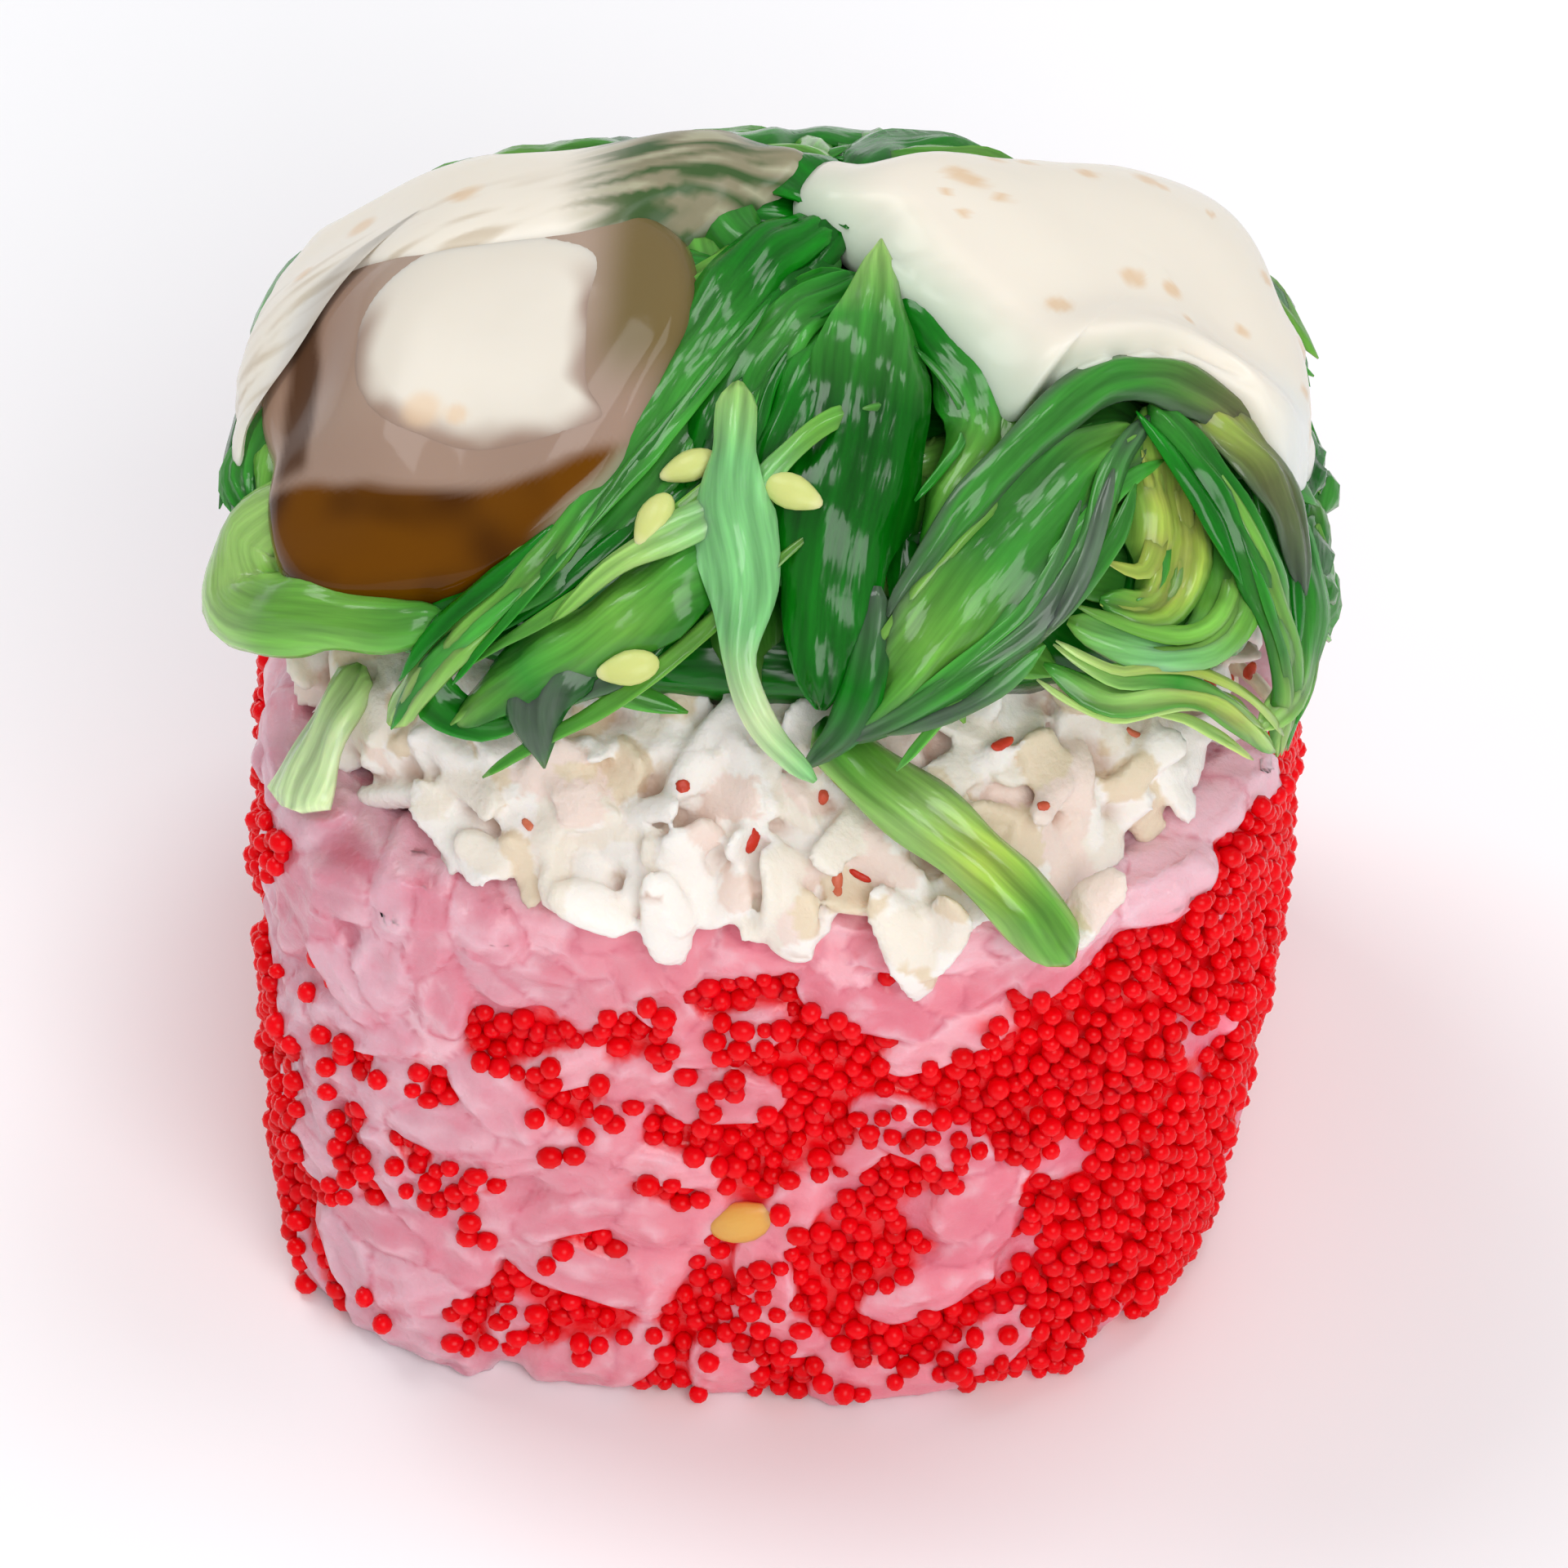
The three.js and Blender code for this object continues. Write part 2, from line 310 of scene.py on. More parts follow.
ROE_CLUMPS = (  # x, z and radius of the clumps of roe on the front wall
    (-16.6, 9.8, 1.9), (-16.5, 16.3, 0.9), (-17.5, 20.3, 0.7), (-12.7, 16.1, 0.6), (-10.1, 19.0, 0.9),
    (-8.0, 19.2, 1.1), (-7.2, 16.5, 1.5), (-7.0, 13.5, 0.7), (-12.2, 11.3, 1.5), (-10.7, 9.0, 0.8),
    (-7.0, 8.5, 0.9), (-11.5, 2.7, 0.8), (-8.8, 4.6, 1.5), (-5.9, 4.0, 1.1), (-2.4, 4.2, 1.5),
    (-3.0, 0.6, 0.9), (-4.3, 21.0, 1.5), (-0.2, 21.1, 1.4), (2.5, 20.4, 2.3), (3.1, 17.2, 2.2),
    (6.0, 17.0, 1.8), (0.8, 15.4, 1.6), (-2.0, 14.9, 1.3), (-3.5, 12.5, 0.9), (0.0, 13.1, 1.2),
    (7.4, 13.8, 1.3), (4.7, 10.9, 0.9), (1.2, 8.7, 1.5), (1.9, 6.2, 2.2), (0.4, 4.1, 1.6),
    (1.9, 1.9, 1.2), (5.1, 3.0, 1.6), (7.4, 3.6, 1.4), (9.2, 5.1, 1.0), (8.6, 15.8, 1.4),
    (7.6, 18.6, 1.3), (6.2, 13.4, 1.0), (5.2, 8.6, 1.1), (9.2, 19.8, 1.2), (-1.2, 17.6, 0.9),
    (10.4, 1.4, 1.2), (13.2, 20.6, 2.2), (14.6, 14.0, 2.6), (15.0, 8.0, 2.6), (11.2, 17.6, 2.2),
    (13.0, 5.2, 1.6),
)
BARE = (  # and of the bare grains in the thick of it
    (12.2, 12.9, 1.2), (9.8, 12.6, 1.0), (10.1, 10.4, 1.0), (10.5, 8.2, 1.0), (14.4, 1.0, 1.6),
    (7.4, 10.9, 1.2),
)


def near_spots(points, spots, start, end):
    """1 inside any of the spots on the front wall, fading out between two shares of its radius."""
    uneven = 0.45 * field(points, 1.3, 5.1)
    found = np.zeros(len(points))
    for across, up, radius in spots:
        away = np.hypot(points[:, 0] - across, points[:, 2] - up) + uneven
        found = np.maximum(found, 1 - fade(away, start * radius, end * radius))
    return found


def roe_share(points):
    """How much of the block's surface the roe takes round a point, from 0 for bare rice to 1."""
    x, y, z = points.T
    uneven = field(points, 5.5, 3.7)
    fine = uneven + 0.5 * field(points, 2.2, 1.2)
    front = fade(-y - 0.45 * np.abs(x), 6, 9)
    heart = 0.7 * near_spots(points, ROE_CLUMPS, 1.0, 1.35)
    round_it = 0.36 * near_spots(points, ROE_CLUMPS, 1.4, 2.4)
    clumps = np.maximum(heart, round_it)
    thick = fade(x + 0.7 * uneven, 9.6, 11.0) * fade(z, 24.5, 22.5)
    clumps = np.maximum(clumps, thick) * (1 - near_spots(points, BARE, 0.8, 1.15))
    behind = 0.67 * fade(fine, 0.05, 0.3) * fade(z + fine, 26.6, 25)
    left = 0.8 * fade(-x, 16.5, 18.5) * fade(fine, -0.5, -0.2) * fade(z, 26, 24)
    right = fade(x + 2.4 * fine, 12, 16.5) * fade(fine, -0.9, -0.6)
    right = right * fade(z, 26.4, 24.8) * fade(z, 0.4, 2.4)
    return np.maximum.reduce([behind, left, right]) * (1 - front) + clumps * front


def rice_grains(rng):
    """Places, axes and sizes of the grains that show on the block, clear of the clumps of roe."""
    points, faces = cad_mesh("rice_roll")
    place, normal = surface_samples(points, faces, GRAIN_TRIES, rng)
    shown = (normal[:, 2] > -0.5) & (place[:, 2] > 0.8)
    place, normal = place[shown], normal[shown]
    count = len(place)
    along, side, out = seat(place, normal, rng.uniform(0, math.pi, count))
    size = np.array(GRAIN) * rng.uniform(0.74, 1.1, (count, 3)) / 2
    half = along * size[:, :1] * 0.6
    share = np.maximum.reduce([roe_share(place), roe_share(place + half), roe_share(place - half)])
    chance = rng.random(count)
    clear = (share < 0.45) | ((share < 0.85) & (chance < 0.04))
    buried = (share > 0.85) & (chance > 0.9)
    wanted = np.flatnonzero(clear | buried)
    kept = wanted[spaced(place[wanted], GRAIN_GAP * rng.uniform(0.92, 1.2, len(wanted)))]
    tilt = rng.normal(0, 0.1, len(kept))[:, None]
    along, side, out = along[kept], side[kept], out[kept]
    along, out = unit(along + out * tilt), unit(out - along * tilt)
    sink = GRAIN_SINK + rng.normal(0, 0.15, len(kept)) + 0.95 * buried[kept]
    return place[kept] - normal[kept] * sink[:, None], (along, side, out), size[kept]


def grain_distance(points, centre, axes, size, near):
    """How far points lie from the near grains, in half sizes of a grain: the two least, and whose."""
    offset = points[:, None, :] - centre[near]
    parts = [(offset * axis[near]).sum(-1) / size[near][..., k] for k, axis in enumerate(axes)]
    distance = np.sqrt(sum(p**2 for p in parts))
    order = np.argsort(distance, axis=1)[:, :2]
    return np.take_along_axis(distance, order, 1), np.take_along_axis(near, order, 1)


def nearest_few(points, centres, count):
    """Which few of the centres are nearest to each point."""
    tree = KDTree(len(centres))
    for i, c in enumerate(centres.tolist()):
        tree.insert(c, i)
    tree.balance()
    return np.array([[k for _, k, _ in tree.find_n(p, count)] for p in points.tolist()])


def depth_in(points, shell, shell_faces):
    """How deep points lie under a shell, and the shell's outward direction there."""
    tree = BVHTree.FromPolygons(shell.tolist(), shell_faces)
    depth, out = np.empty(len(points)), np.empty((len(points), 3))
    for i, p in enumerate(points.tolist()):
        near, normal, _, _ = tree.find_nearest(p)
        depth[i] = (near - Vector(p)).dot(normal)
        out[i] = normal
    return depth, out


def rice_block():
    rng = np.random.default_rng(11)
    centre, axes, size = rice_grains(rng)
    shape, shape_faces = ball(14, 9)
    shape = shape / (np.abs(shape) ** 2.5).sum(1, keepdims=True) ** (1 / 2.5)
    solids = []
    for c, a, b, o, s in zip(centre, *axes, size):
        bent = shape * s
        bent[:, 1] += 0.3 * (shape[:, 0] ** 2 - 0.4) * rng.choice([-1, 1])
        solids.append((c + bent @ np.stack([a, b, o]), shape_faces))
    shell, shell_faces = cad_mesh("rice_roll")
    middle = np.array([0, 0, shell[:, 2].mean()])
    core = middle + (shell - middle) * np.array([0.955, 0.955, 0.95])
    core[:, 2] = np.where(shell[:, 2] < 0.7, shell[:, 2], core[:, 2])
    solids.append((core, shell_faces))
    points, faces = join(solids)
    skin, skin_faces = fuse(points, faces, RICE_VOXEL, 1, RICE_KEEP)
    distance, whose = grain_distance(skin, centre, axes, size, nearest_few(skin, centre, 6))
    offset = skin - centre[whose[:, 0]]
    u, v, w = ((offset * axis[whose[:, 0]]).sum(-1) for axis in axes)
    streak = field(np.stack([0.35 * u, 1.5 * v, 1.5 * w + 9.1 * whose[:, 0]], -1), 1.0)
    depth, out = depth_in(skin, shell, shell_faces)
    # Pressed in the mould: no grain stands far out of the block.
    proud = np.minimum(depth + 0.05, 0)
    skin += out * (proud * 0.8)[:, None]
    skin += out * ((0.14 * field(skin, 1.0) + 0.12 * streak) * fade(depth, 0.9, 0.2))[:, None]
    # The joints that hold roe are shallow.
    depth, out = depth_in(skin, shell, shell_faces)
    pit = 0.35 * fade(roe_share(skin), 0.15, 0.35) * fade(depth, 0.25, 0.55)
    level = np.minimum(0.58 * depth + pit, JOINT_DEPTH)
    skin += out * np.maximum(depth - level, 0)[:, None]
    skin = mix(skin, relaxed(skin, skin_faces, 3), fade(depth, 0.45, 0.8))
    skin[:, 2] = np.maximum(skin[:, 2], 0)
    return skin, skin_faces, rice_tint(skin, depth, distance, whose, streak)


def rice_tint(skin, depth, distance, whose, streak):
    """Paler mauve on the left and redder on the right, with a tone for each grain, darker seams between
    the grains and painted shade in the hollows.
    """
    rng = np.random.default_rng(12)
    tone = rng.normal(0, 1, whose.max() + 1)[whose[:, 0]]
    across = skin[:, 0] / HALF_BLOCK
    base = mix(RICE_LEFT, RICE_MIDDLE, fade(across, -0.85, -0.05))
    base = mix(base, RICE_RIGHT, fade(across, 0.15, 0.9))
    base = base * np.clip(1 + 0.08 * tone, 0.8, 1.2)[:, None]
    base = mix(base, RICE_PALE, fade(tone, 0.7, 2.0) * 0.5)
    base = mix(base, RICE_RIGHT, fade(-tone, 0.8, 2.2) * 0.4)
    milky = field(skin, 1.2, 6.0) + 0.5 * field(skin, 0.5) + 0.7 * streak
    base = mix(base, RICE_MILKY, fade(milky, 0.0, 1.3) * 0.5)
    base = mix(base, RICE_CLEAR, fade(-milky, 0.1, 1.3) * 0.35)
    rim = fade(skin[:, 2], 23.5, 26) * fade(across, 0.1, 0.7)
    base = mix(base, RICE_MILKY, rim * 0.85)
    # Darker seams where two grains meet, and painted shade where the surface lies deep in the hollows
    seam_and_hollow_shade = (1 - fade(distance[:, 1] - distance[:, 0], 0.0, 0.1)) * 0.5
    seam_and_hollow_shade = np.maximum(seam_and_hollow_shade, fade(depth, 0.35, 1.0) * 0.45)
    base = mix(base, RICE_SEAM_AND_SHADE, seam_and_hollow_shade)
    red = fade(roe_share(skin), 0.2, 0.4) * fade(depth, 0.15, 0.4)
    return mix(base, UNDER_ROE, red)


# Roe ----------------

BEAD = 0.88  # diameter
BEAD_GAP = 0.68 * BEAD  # least distance between the middles of two beads, which sink into each other
BEAD_TRIES = 60000
ROE = colour(255, 4, 20)
ROE_DARK = colour(226, 0, 10)
SEED_ROOM = 1.7  # no bead lies nearer to the middle of the seed on the front wall


def roe(skin, skin_faces):
    """Beads that fill the joints between the grains flush, and cover the grains on the right."""
    rng = np.random.default_rng(21)
    shape, shape_faces = ball(7, 5)
    wall = BVHTree.FromPolygons(skin.tolist(), skin_faces)
    shell, shell_faces = cad_mesh("rice_roll")
    place, normal = surface_samples(shell, shell_faces, BEAD_TRIES, rng)
    share = roe_share(place)
    sink = np.empty(len(place))
    for i, (p, n) in enumerate(zip(place.tolist(), normal.tolist())):
        start = Vector(p) + Vector(n) * 1.5
        hit = wall.ray_cast(start, -Vector(n), 4)
        sink[i] = hit[3] - 1.5 if hit[0] is not None else 9
    chance = rng.random(len(place))
    in_joint = ((sink > 0.26) & (share > 0.34)) | ((sink > 0.2) & (share > 0.1 + 0.4 * chance))
    ragged = share + 0.14 * field(place, 0.7, 8.3)
    on_grain = (ragged > 0.63 + 0.1 * chance) & (sink > -0.3)
    stray = (chance < 0.004) & (place[:, 2] < 22)
    from_seed = np.hypot(place[:, 0] - GOLDEN[0], place[:, 2] - GOLDEN[1])
    beside_seed = (from_seed > SEED_ROOM) | (place[:, 1] > 0)
    on_wall = (sink < 3) & (place[:, 2] > 0.3) & (normal[:, 2] > -0.6)
    wanted = (in_joint | on_grain | stray) & on_wall & beside_seed
    place, normal, share, sink = place[wanted], normal[wanted], share[wanted], sink[wanted]
    kept = spaced(place, np.full(len(place), BEAD_GAP))
    place, normal, share, sink = place[kept], normal[kept], share[kept], sink[kept]
    count = len(kept)
    radius = BEAD / 2 * rng.uniform(0.8, 1.12, count)
    deep = 0.42 - 0.24 * fade(share, 0.72, 0.9) + rng.normal(0, 0.08, count)
    deep = np.where(sink < 0.28, sink - 0.4 * radius, deep)
    place = place - normal * deep[:, None]
    place[:, 2] = np.maximum(place[:, 2], radius)
    squash = rng.uniform(0.84, 1.14, (count, 3))
    points, faces = join([(p + shape * r * q, shape_faces) for p, r, q in zip(place, radius, squash)])
    tone = np.repeat(np.clip(rng.normal(0.3, 0.45, count), 0, 1), len(shape))
    return piece("roe", points, faces, ROE_SKIN, "roe", mix(ROE, ROE_DARK, tone))


# Domes and routes ----------------
# A place on the toppings is two angles in degrees from straight up, to the right and to the back,
# and a height in millimetres over the dome of the seaweed heap.

DOME = {"half_width": 22.0, "half_depth": 18.4, "base": 29.0, "rise": 15.2, "squareness": 2.7}


def towards(right, back):
    """The direction from CORE at the given angles from straight up."""
    polar, azimuth = np.radians(np.hypot(right, back)), np.arctan2(back, right)
    flat = np.sin(polar)
    return np.stack([flat * np.cos(azimuth), flat * np.sin(azimuth), np.cos(polar)], -1)


def reach(direction):
    """Distance from CORE to the dome."""
    near, far = np.zeros(direction.shape[:-1]), np.full(direction.shape[:-1], 80.0)
    for _ in range(24):
        middle = (near + far) / 2
        p = direction * middle[..., None] + CORE
        plan = np.abs(p[..., 0] / DOME["half_width"]) ** DOME["squareness"]
        plan = plan + np.abs(p[..., 1] / DOME["half_depth"]) ** DOME["squareness"]
        inside = plan ** (2 / DOME["squareness"]) + ((p[..., 2] - DOME["base"]) / DOME["rise"]) ** 2 < 1
        inside |= (plan < 1) & (p[..., 2] < DOME["base"])
        near, far = np.where(inside, middle, near), np.where(inside, far, middle)
    return near - 1.1 * fade(direction[..., 1], 0.05, 0.5)


def on_heap(places):
    """Points from (right, back, height) places."""
    places = np.asarray(places, float)
    direction = towards(places[:, 0], places[:, 1])
    return CORE + direction * (reach(direction) + places[:, 2])[:, None]


def spline(points, closed=False, per_span=12):
    """Many points on a smooth curve through a few."""
    points = np.asarray(points, float)
    count = len(points)
    spans = count if closed else count - 1
    out = []
    for k in range(spans):
        if closed:
            a, b, c, d = (points[(k + step) % count] for step in (-1, 0, 1, 2))
        else:
            b, c = points[k], points[k + 1]
            a = points[k - 1] if k else 2 * b - c
            d = points[k + 2] if k + 2 < count else 2 * c - b
        for t in np.linspace(0, 1, per_span, endpoint=False):
            square, cube = 2 * a - 5 * b + 4 * c - d, 3 * b - 3 * c + d - a
            out.append(0.5 * (2 * b + (c - a) * t + square * t**2 + cube * t**3))
    if not closed:
        out.append(points[-1])
    return np.array(out)


def even_steps(curve, step):
    """The same curve in equal steps, and the length up to each of its points."""
    length = np.concatenate([[0], np.cumsum(np.linalg.norm(np.diff(curve, axis=0), axis=1))])
    count = max(int(round(length[-1] / step)), 4) + 1
    at = np.linspace(0, length[-1], count)
    return np.stack([np.interp(at, length, curve[:, k]) for k in range(curve.shape[1])], -1), at


# Crab salad ----------------

CRAB_TONES = np.array([
    colour(248, 240, 233),
    colour(242, 232, 219),
    colour(241, 221, 210),
    colour(232, 214, 188),
])
CRAB_TONE_CHANCES = (0.45, 0.27, 0.14, 0.14)
CRAB_GAP = 1.0  # least distance between the middles of two flakes
FLAKE_SIZES = ((2.0, 4.6), (1.0, 2.1), (0.45, 0.8))  # least and most length, width and depth
# Painted shade for the crevices between the flakes
CRAB_CREVICE_SHADE = colour(176, 128, 98)
CRAB_VOXEL = 0.22
CRAB_KEEP = 0.8  # share of the skin's triangles that stay
FLAKE_TRIES = 16000
RAGGED = (  # flakes that hang over the rim at the front: x, z, length and turn in degrees
    (-3.2, 27.6, 4.6, 80), (6.0, 26.6, 5.6, 70), (7.4, 27.4, 4.2, 108), (13.0, 27.9, 4.2, 120),
    (1.8, 27.5, 3.6, 95), (-6.0, 28.0, 3.6, 20),
)


def chunk(centre, axes, size, rng, blunt=5):
    """A torn flake, the more square the higher blunt is."""
    shape, faces = ball(10, 7)
    shape = shape / (np.abs(shape) ** blunt).sum(1, keepdims=True) ** (1 / blunt)
    shape = shape + 0.07 * rng.normal(0, 1, shape.shape) * np.array([0.6, 1, 0.7])
    bent = shape * size / 2
    bent[:, 2] += rng.uniform(-0.25, 0.25) * size[0] * (shape[:, 0] ** 2 - 0.4)
    return centre + bent @ np.stack(axes), faces


def crab_salad():
    rng = np.random.default_rng(31)
    shell, shell_faces = cad_mesh("crab_salad")
    place, normal = surface_samples(shell, shell_faces, FLAKE_TRIES, rng)
    low = shell[:, 2].min()
    shown = (place[:, 2] > low + 0.2) & (normal[:, 2] > -0.3)
    place, normal = place[shown], normal[shown]
    kept = spaced(place, np.full(len(place), CRAB_GAP))
    place, normal = place[kept], normal[kept]
    count = len(kept)
    along, side, out = seat(place, normal, rng.uniform(0, math.pi, count))
    tilt, roll = (np.tan(rng.normal(0, 0.38, count))[:, None] for _ in range(2))
    out = unit(out + along * tilt + side * roll)
    along = unit(along - out * (along * out).sum(-1, keepdims=True))
    side = np.cross(out, along)
    size = np.stack([rng.uniform(low_mm, high_mm, count) for low_mm, high_mm in FLAKE_SIZES], -1)
    centre = place + normal * rng.normal(-0.25, 0.34, count)[:, None]
    edge = fade(place[:, 2], low + 3.5, low + 0.5)
    centre += normal * (0.3 * edge * rng.random(count))[:, None]
    solids = [chunk(c, (a, s, o), z, rng) for c, a, s, o, z in zip(centre, along, side, out, size)]
    for x, z, length, turn in RAGGED:
        y = -HALF_BLOCK * (1 - abs(x / HALF_BLOCK) ** 3.4) ** (1 / 3.4) * 0.95 - 0.35 - 0.12 * (z - 27)
        lean = np.array([0, -0.35, 0.93])
        a = unit(np.array([math.cos(math.radians(turn)), -0.12, -math.sin(math.radians(turn))]))
        o = unit(lean - a * (lean @ a))
        size_here = np.array([length, 2.0, 0.9])
        solids.append(chunk(np.array([x, y, z]), (a, np.cross(o, a), o), size_here, rng, 2.6))
    middle = np.array([0, 0, low])
    solids.append((middle + (shell - middle) * np.array([0.975, 0.975, 0.96]), shell_faces))
    points, faces = join(solids)
    skin, skin_faces = fuse(points, faces, CRAB_VOXEL, 0, CRAB_KEEP)
    skin[:, 2] = np.maximum(skin[:, 2], np.where(np.hypot(skin[:, 0], skin[:, 1]) < 17, low - 0.2, 0))
    depth, _ = depth_in(skin, shell, shell_faces)
    near = nearest_few(skin, centre, 6)
    _, whose = grain_distance(skin, centre, (along, side, out), size / 2, near)
    tones = CRAB_TONES[rng.choice(len(CRAB_TONES), count, p=CRAB_TONE_CHANCES)]
    # Painted shade: the deeper a point lies under the salad's outline, the more crevice shade colour it
    # takes
    tint = mix(tones[whose[:, 0]], CRAB_CREVICE_SHADE, fade(depth, 0.0, 0.62) * 0.9)
    made = piece("crab_salad_shreds", skin, skin_faces, CRAB_SKIN, "crab_salad", tint)
    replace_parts(made, "crab_salad")
    return skin, skin_faces


# Seaweed salad ----------------

DEEP = colour(4, 86, 8)
DARK = colour(12, 108, 16)
MID = colour(56, 132, 46)
BRIGHT = colour(102, 160, 62)
LIGHT = colour(150, 190, 104)
YELLOW = colour(164, 190, 80)
PALE = colour(196, 218, 164)
OLIVE = colour(96, 104, 62)
GREY = colour(74, 92, 74)
SHEER = colour(120, 186, 118)


def ribbon(
    route, widths, tones, rng,
    thick=0.42, ridges=2.0, ridge=0.14, cup=0.12, turn=(0, 0), edge=None, columns=11, taper=1.0,
):
    """A closed, ridged strip of seaweed along a route of points, turned about its length by so many
    degrees. Tones run along it, and edge is the colour of its margins. Its ends are rounded over the
    taper. Gives points, faces, the place along the strand, and tint."""
    centre, at = even_steps(spline(route), 0.5)
    count = len(centre)
    share = np.linspace(0, 1, count)
    ahead = unit(np.gradient(centre, axis=0))
    out = unit(centre - CORE)
    out = unit(out - ahead * (out * ahead).sum(-1, keepdims=True))
    side = np.cross(ahead, out)
    twist = np.interp(share, np.linspace(0, 1, len(turn)), turn)
    angle = np.radians(twist + 8 * np.sin(3.1 * at / 4 + rng.uniform(0, 6)))
    out, side = (
        out * np.cos(angle)[:, None] + side * np.sin(angle)[:, None],
        side * np.cos(angle)[:, None] - out * np.sin(angle)[:, None],
    )
    width = np.interp(share, np.linspace(0, 1, len(widths)), widths)
    width = width * (1 + 0.08 * np.sin(at * 1.1 + rng.uniform(0, 6)))
    width = width * (0.3 + 0.7 * np.sqrt(np.clip(np.minimum(at, at[-1] - at) / taper, 0, 1)))
    v = np.linspace(-1, 1, columns)
    phase = rng.uniform(0, 6) + 0.25 * np.sin(at / 3)
    wave = np.cos(math.pi * ridges * v[None, :] + phase[:, None])
    swell = 0.6 + 0.4 * np.sin(at / 2.3 + rng.uniform(0, 6))
    lift = ridge * wave * swell[:, None] * np.minimum(width / 2, 1)[:, None]
    lift += cup * width[:, None] * (0.35 - v**2)
    ripple = np.sin(at[:, None] * 1.9 + 2.5 * v + rng.uniform(0, 6))
    lift += 0.1 * ripple * np.minimum(width / 3, 1)[:, None]
    half = thick / 2 * (1 - 0.7 * v**2)[None, :] * np.minimum(width / 1.6, 1)[:, None]
    across = v[None, :] * width[:, None] / 2
    base = centre[:, None, :] + side[:, None, :] * across[..., None] + out[:, None, :] * lift[..., None]
    top = base + out[:, None, :] * half[..., None]
    bottom = base - out[:, None, :] * half[..., None]
    rings = np.concatenate([top, bottom[:, ::-1]], axis=1)
    around = 2 * columns
    points = np.concatenate([rings.reshape(-1, 3), [base[0].mean(0), base[-1].mean(0)]])
    faces = []
    for i in range(count - 1):
        for j in range(around):
            k = (j + 1) % around
            faces.append([i * around + j, i * around + k, (i + 1) * around + k, (i + 1) * around + j])
    first, last = len(points) - 2, len(points) - 1
    for j in range(around):
        k = (j + 1) % around
        faces.append([first, k, j])
        faces.append([last, (count - 1) * around + j, (count - 1) * around + k])
    loop = np.concatenate([v, v[::-1]])
    beside = loop * width[:, None] / 2
    strand = np.stack(np.broadcast_arrays(at[:, None], beside, rng.uniform(0, 90)), -1)
    stops = np.linspace(0, 1, len(tones))
    tone = np.stack([np.interp(share, stops, np.array(tones)[:, k]) for k in range(3)], -1)
    tint = np.repeat(tone[:, None, :], around, axis=1)
    # Painted light and shade: the ridges of the strip a little lighter, the valleys between them a
    # little darker
    ridge_shading = np.concatenate([wave, wave[:, ::-1]], axis=1)
    tint = tint * (1 + 0.14 * ridge_shading[..., None])
    margin = fade(np.abs(loop), 0.62, 0.95)[None, :] * np.ones((count, 1))
    tint = mix(tint, tint * 1.3 if edge is None else edge, margin * 0.8)
    ends = np.array([0, count - 1])
    strand = np.concatenate([strand.reshape(-1, 3), strand[ends, columns // 2]])
    tint = np.concatenate([tint.reshape(-1, 3), tint[ends, columns // 2]])
    return points, faces, strand, np.clip(tint, 0, 1)


FILLERS = 230  # plain strips under the others
FILLERS_ALL_ROUND = 110  # the first of them, before those at the back
FILLERS_RIGHT = 18  # and more of them at the right edge
FILLER_TONES = (DEEP, DARK, MID, MID, BRIGHT, DARK)
BED_DEPTH = 2.1  # how far the mound under them lies below the dome
BED_SPREAD = 43  # how far it spreads to the sides and back, in degrees
BED_FRONT = 30  # and to the front

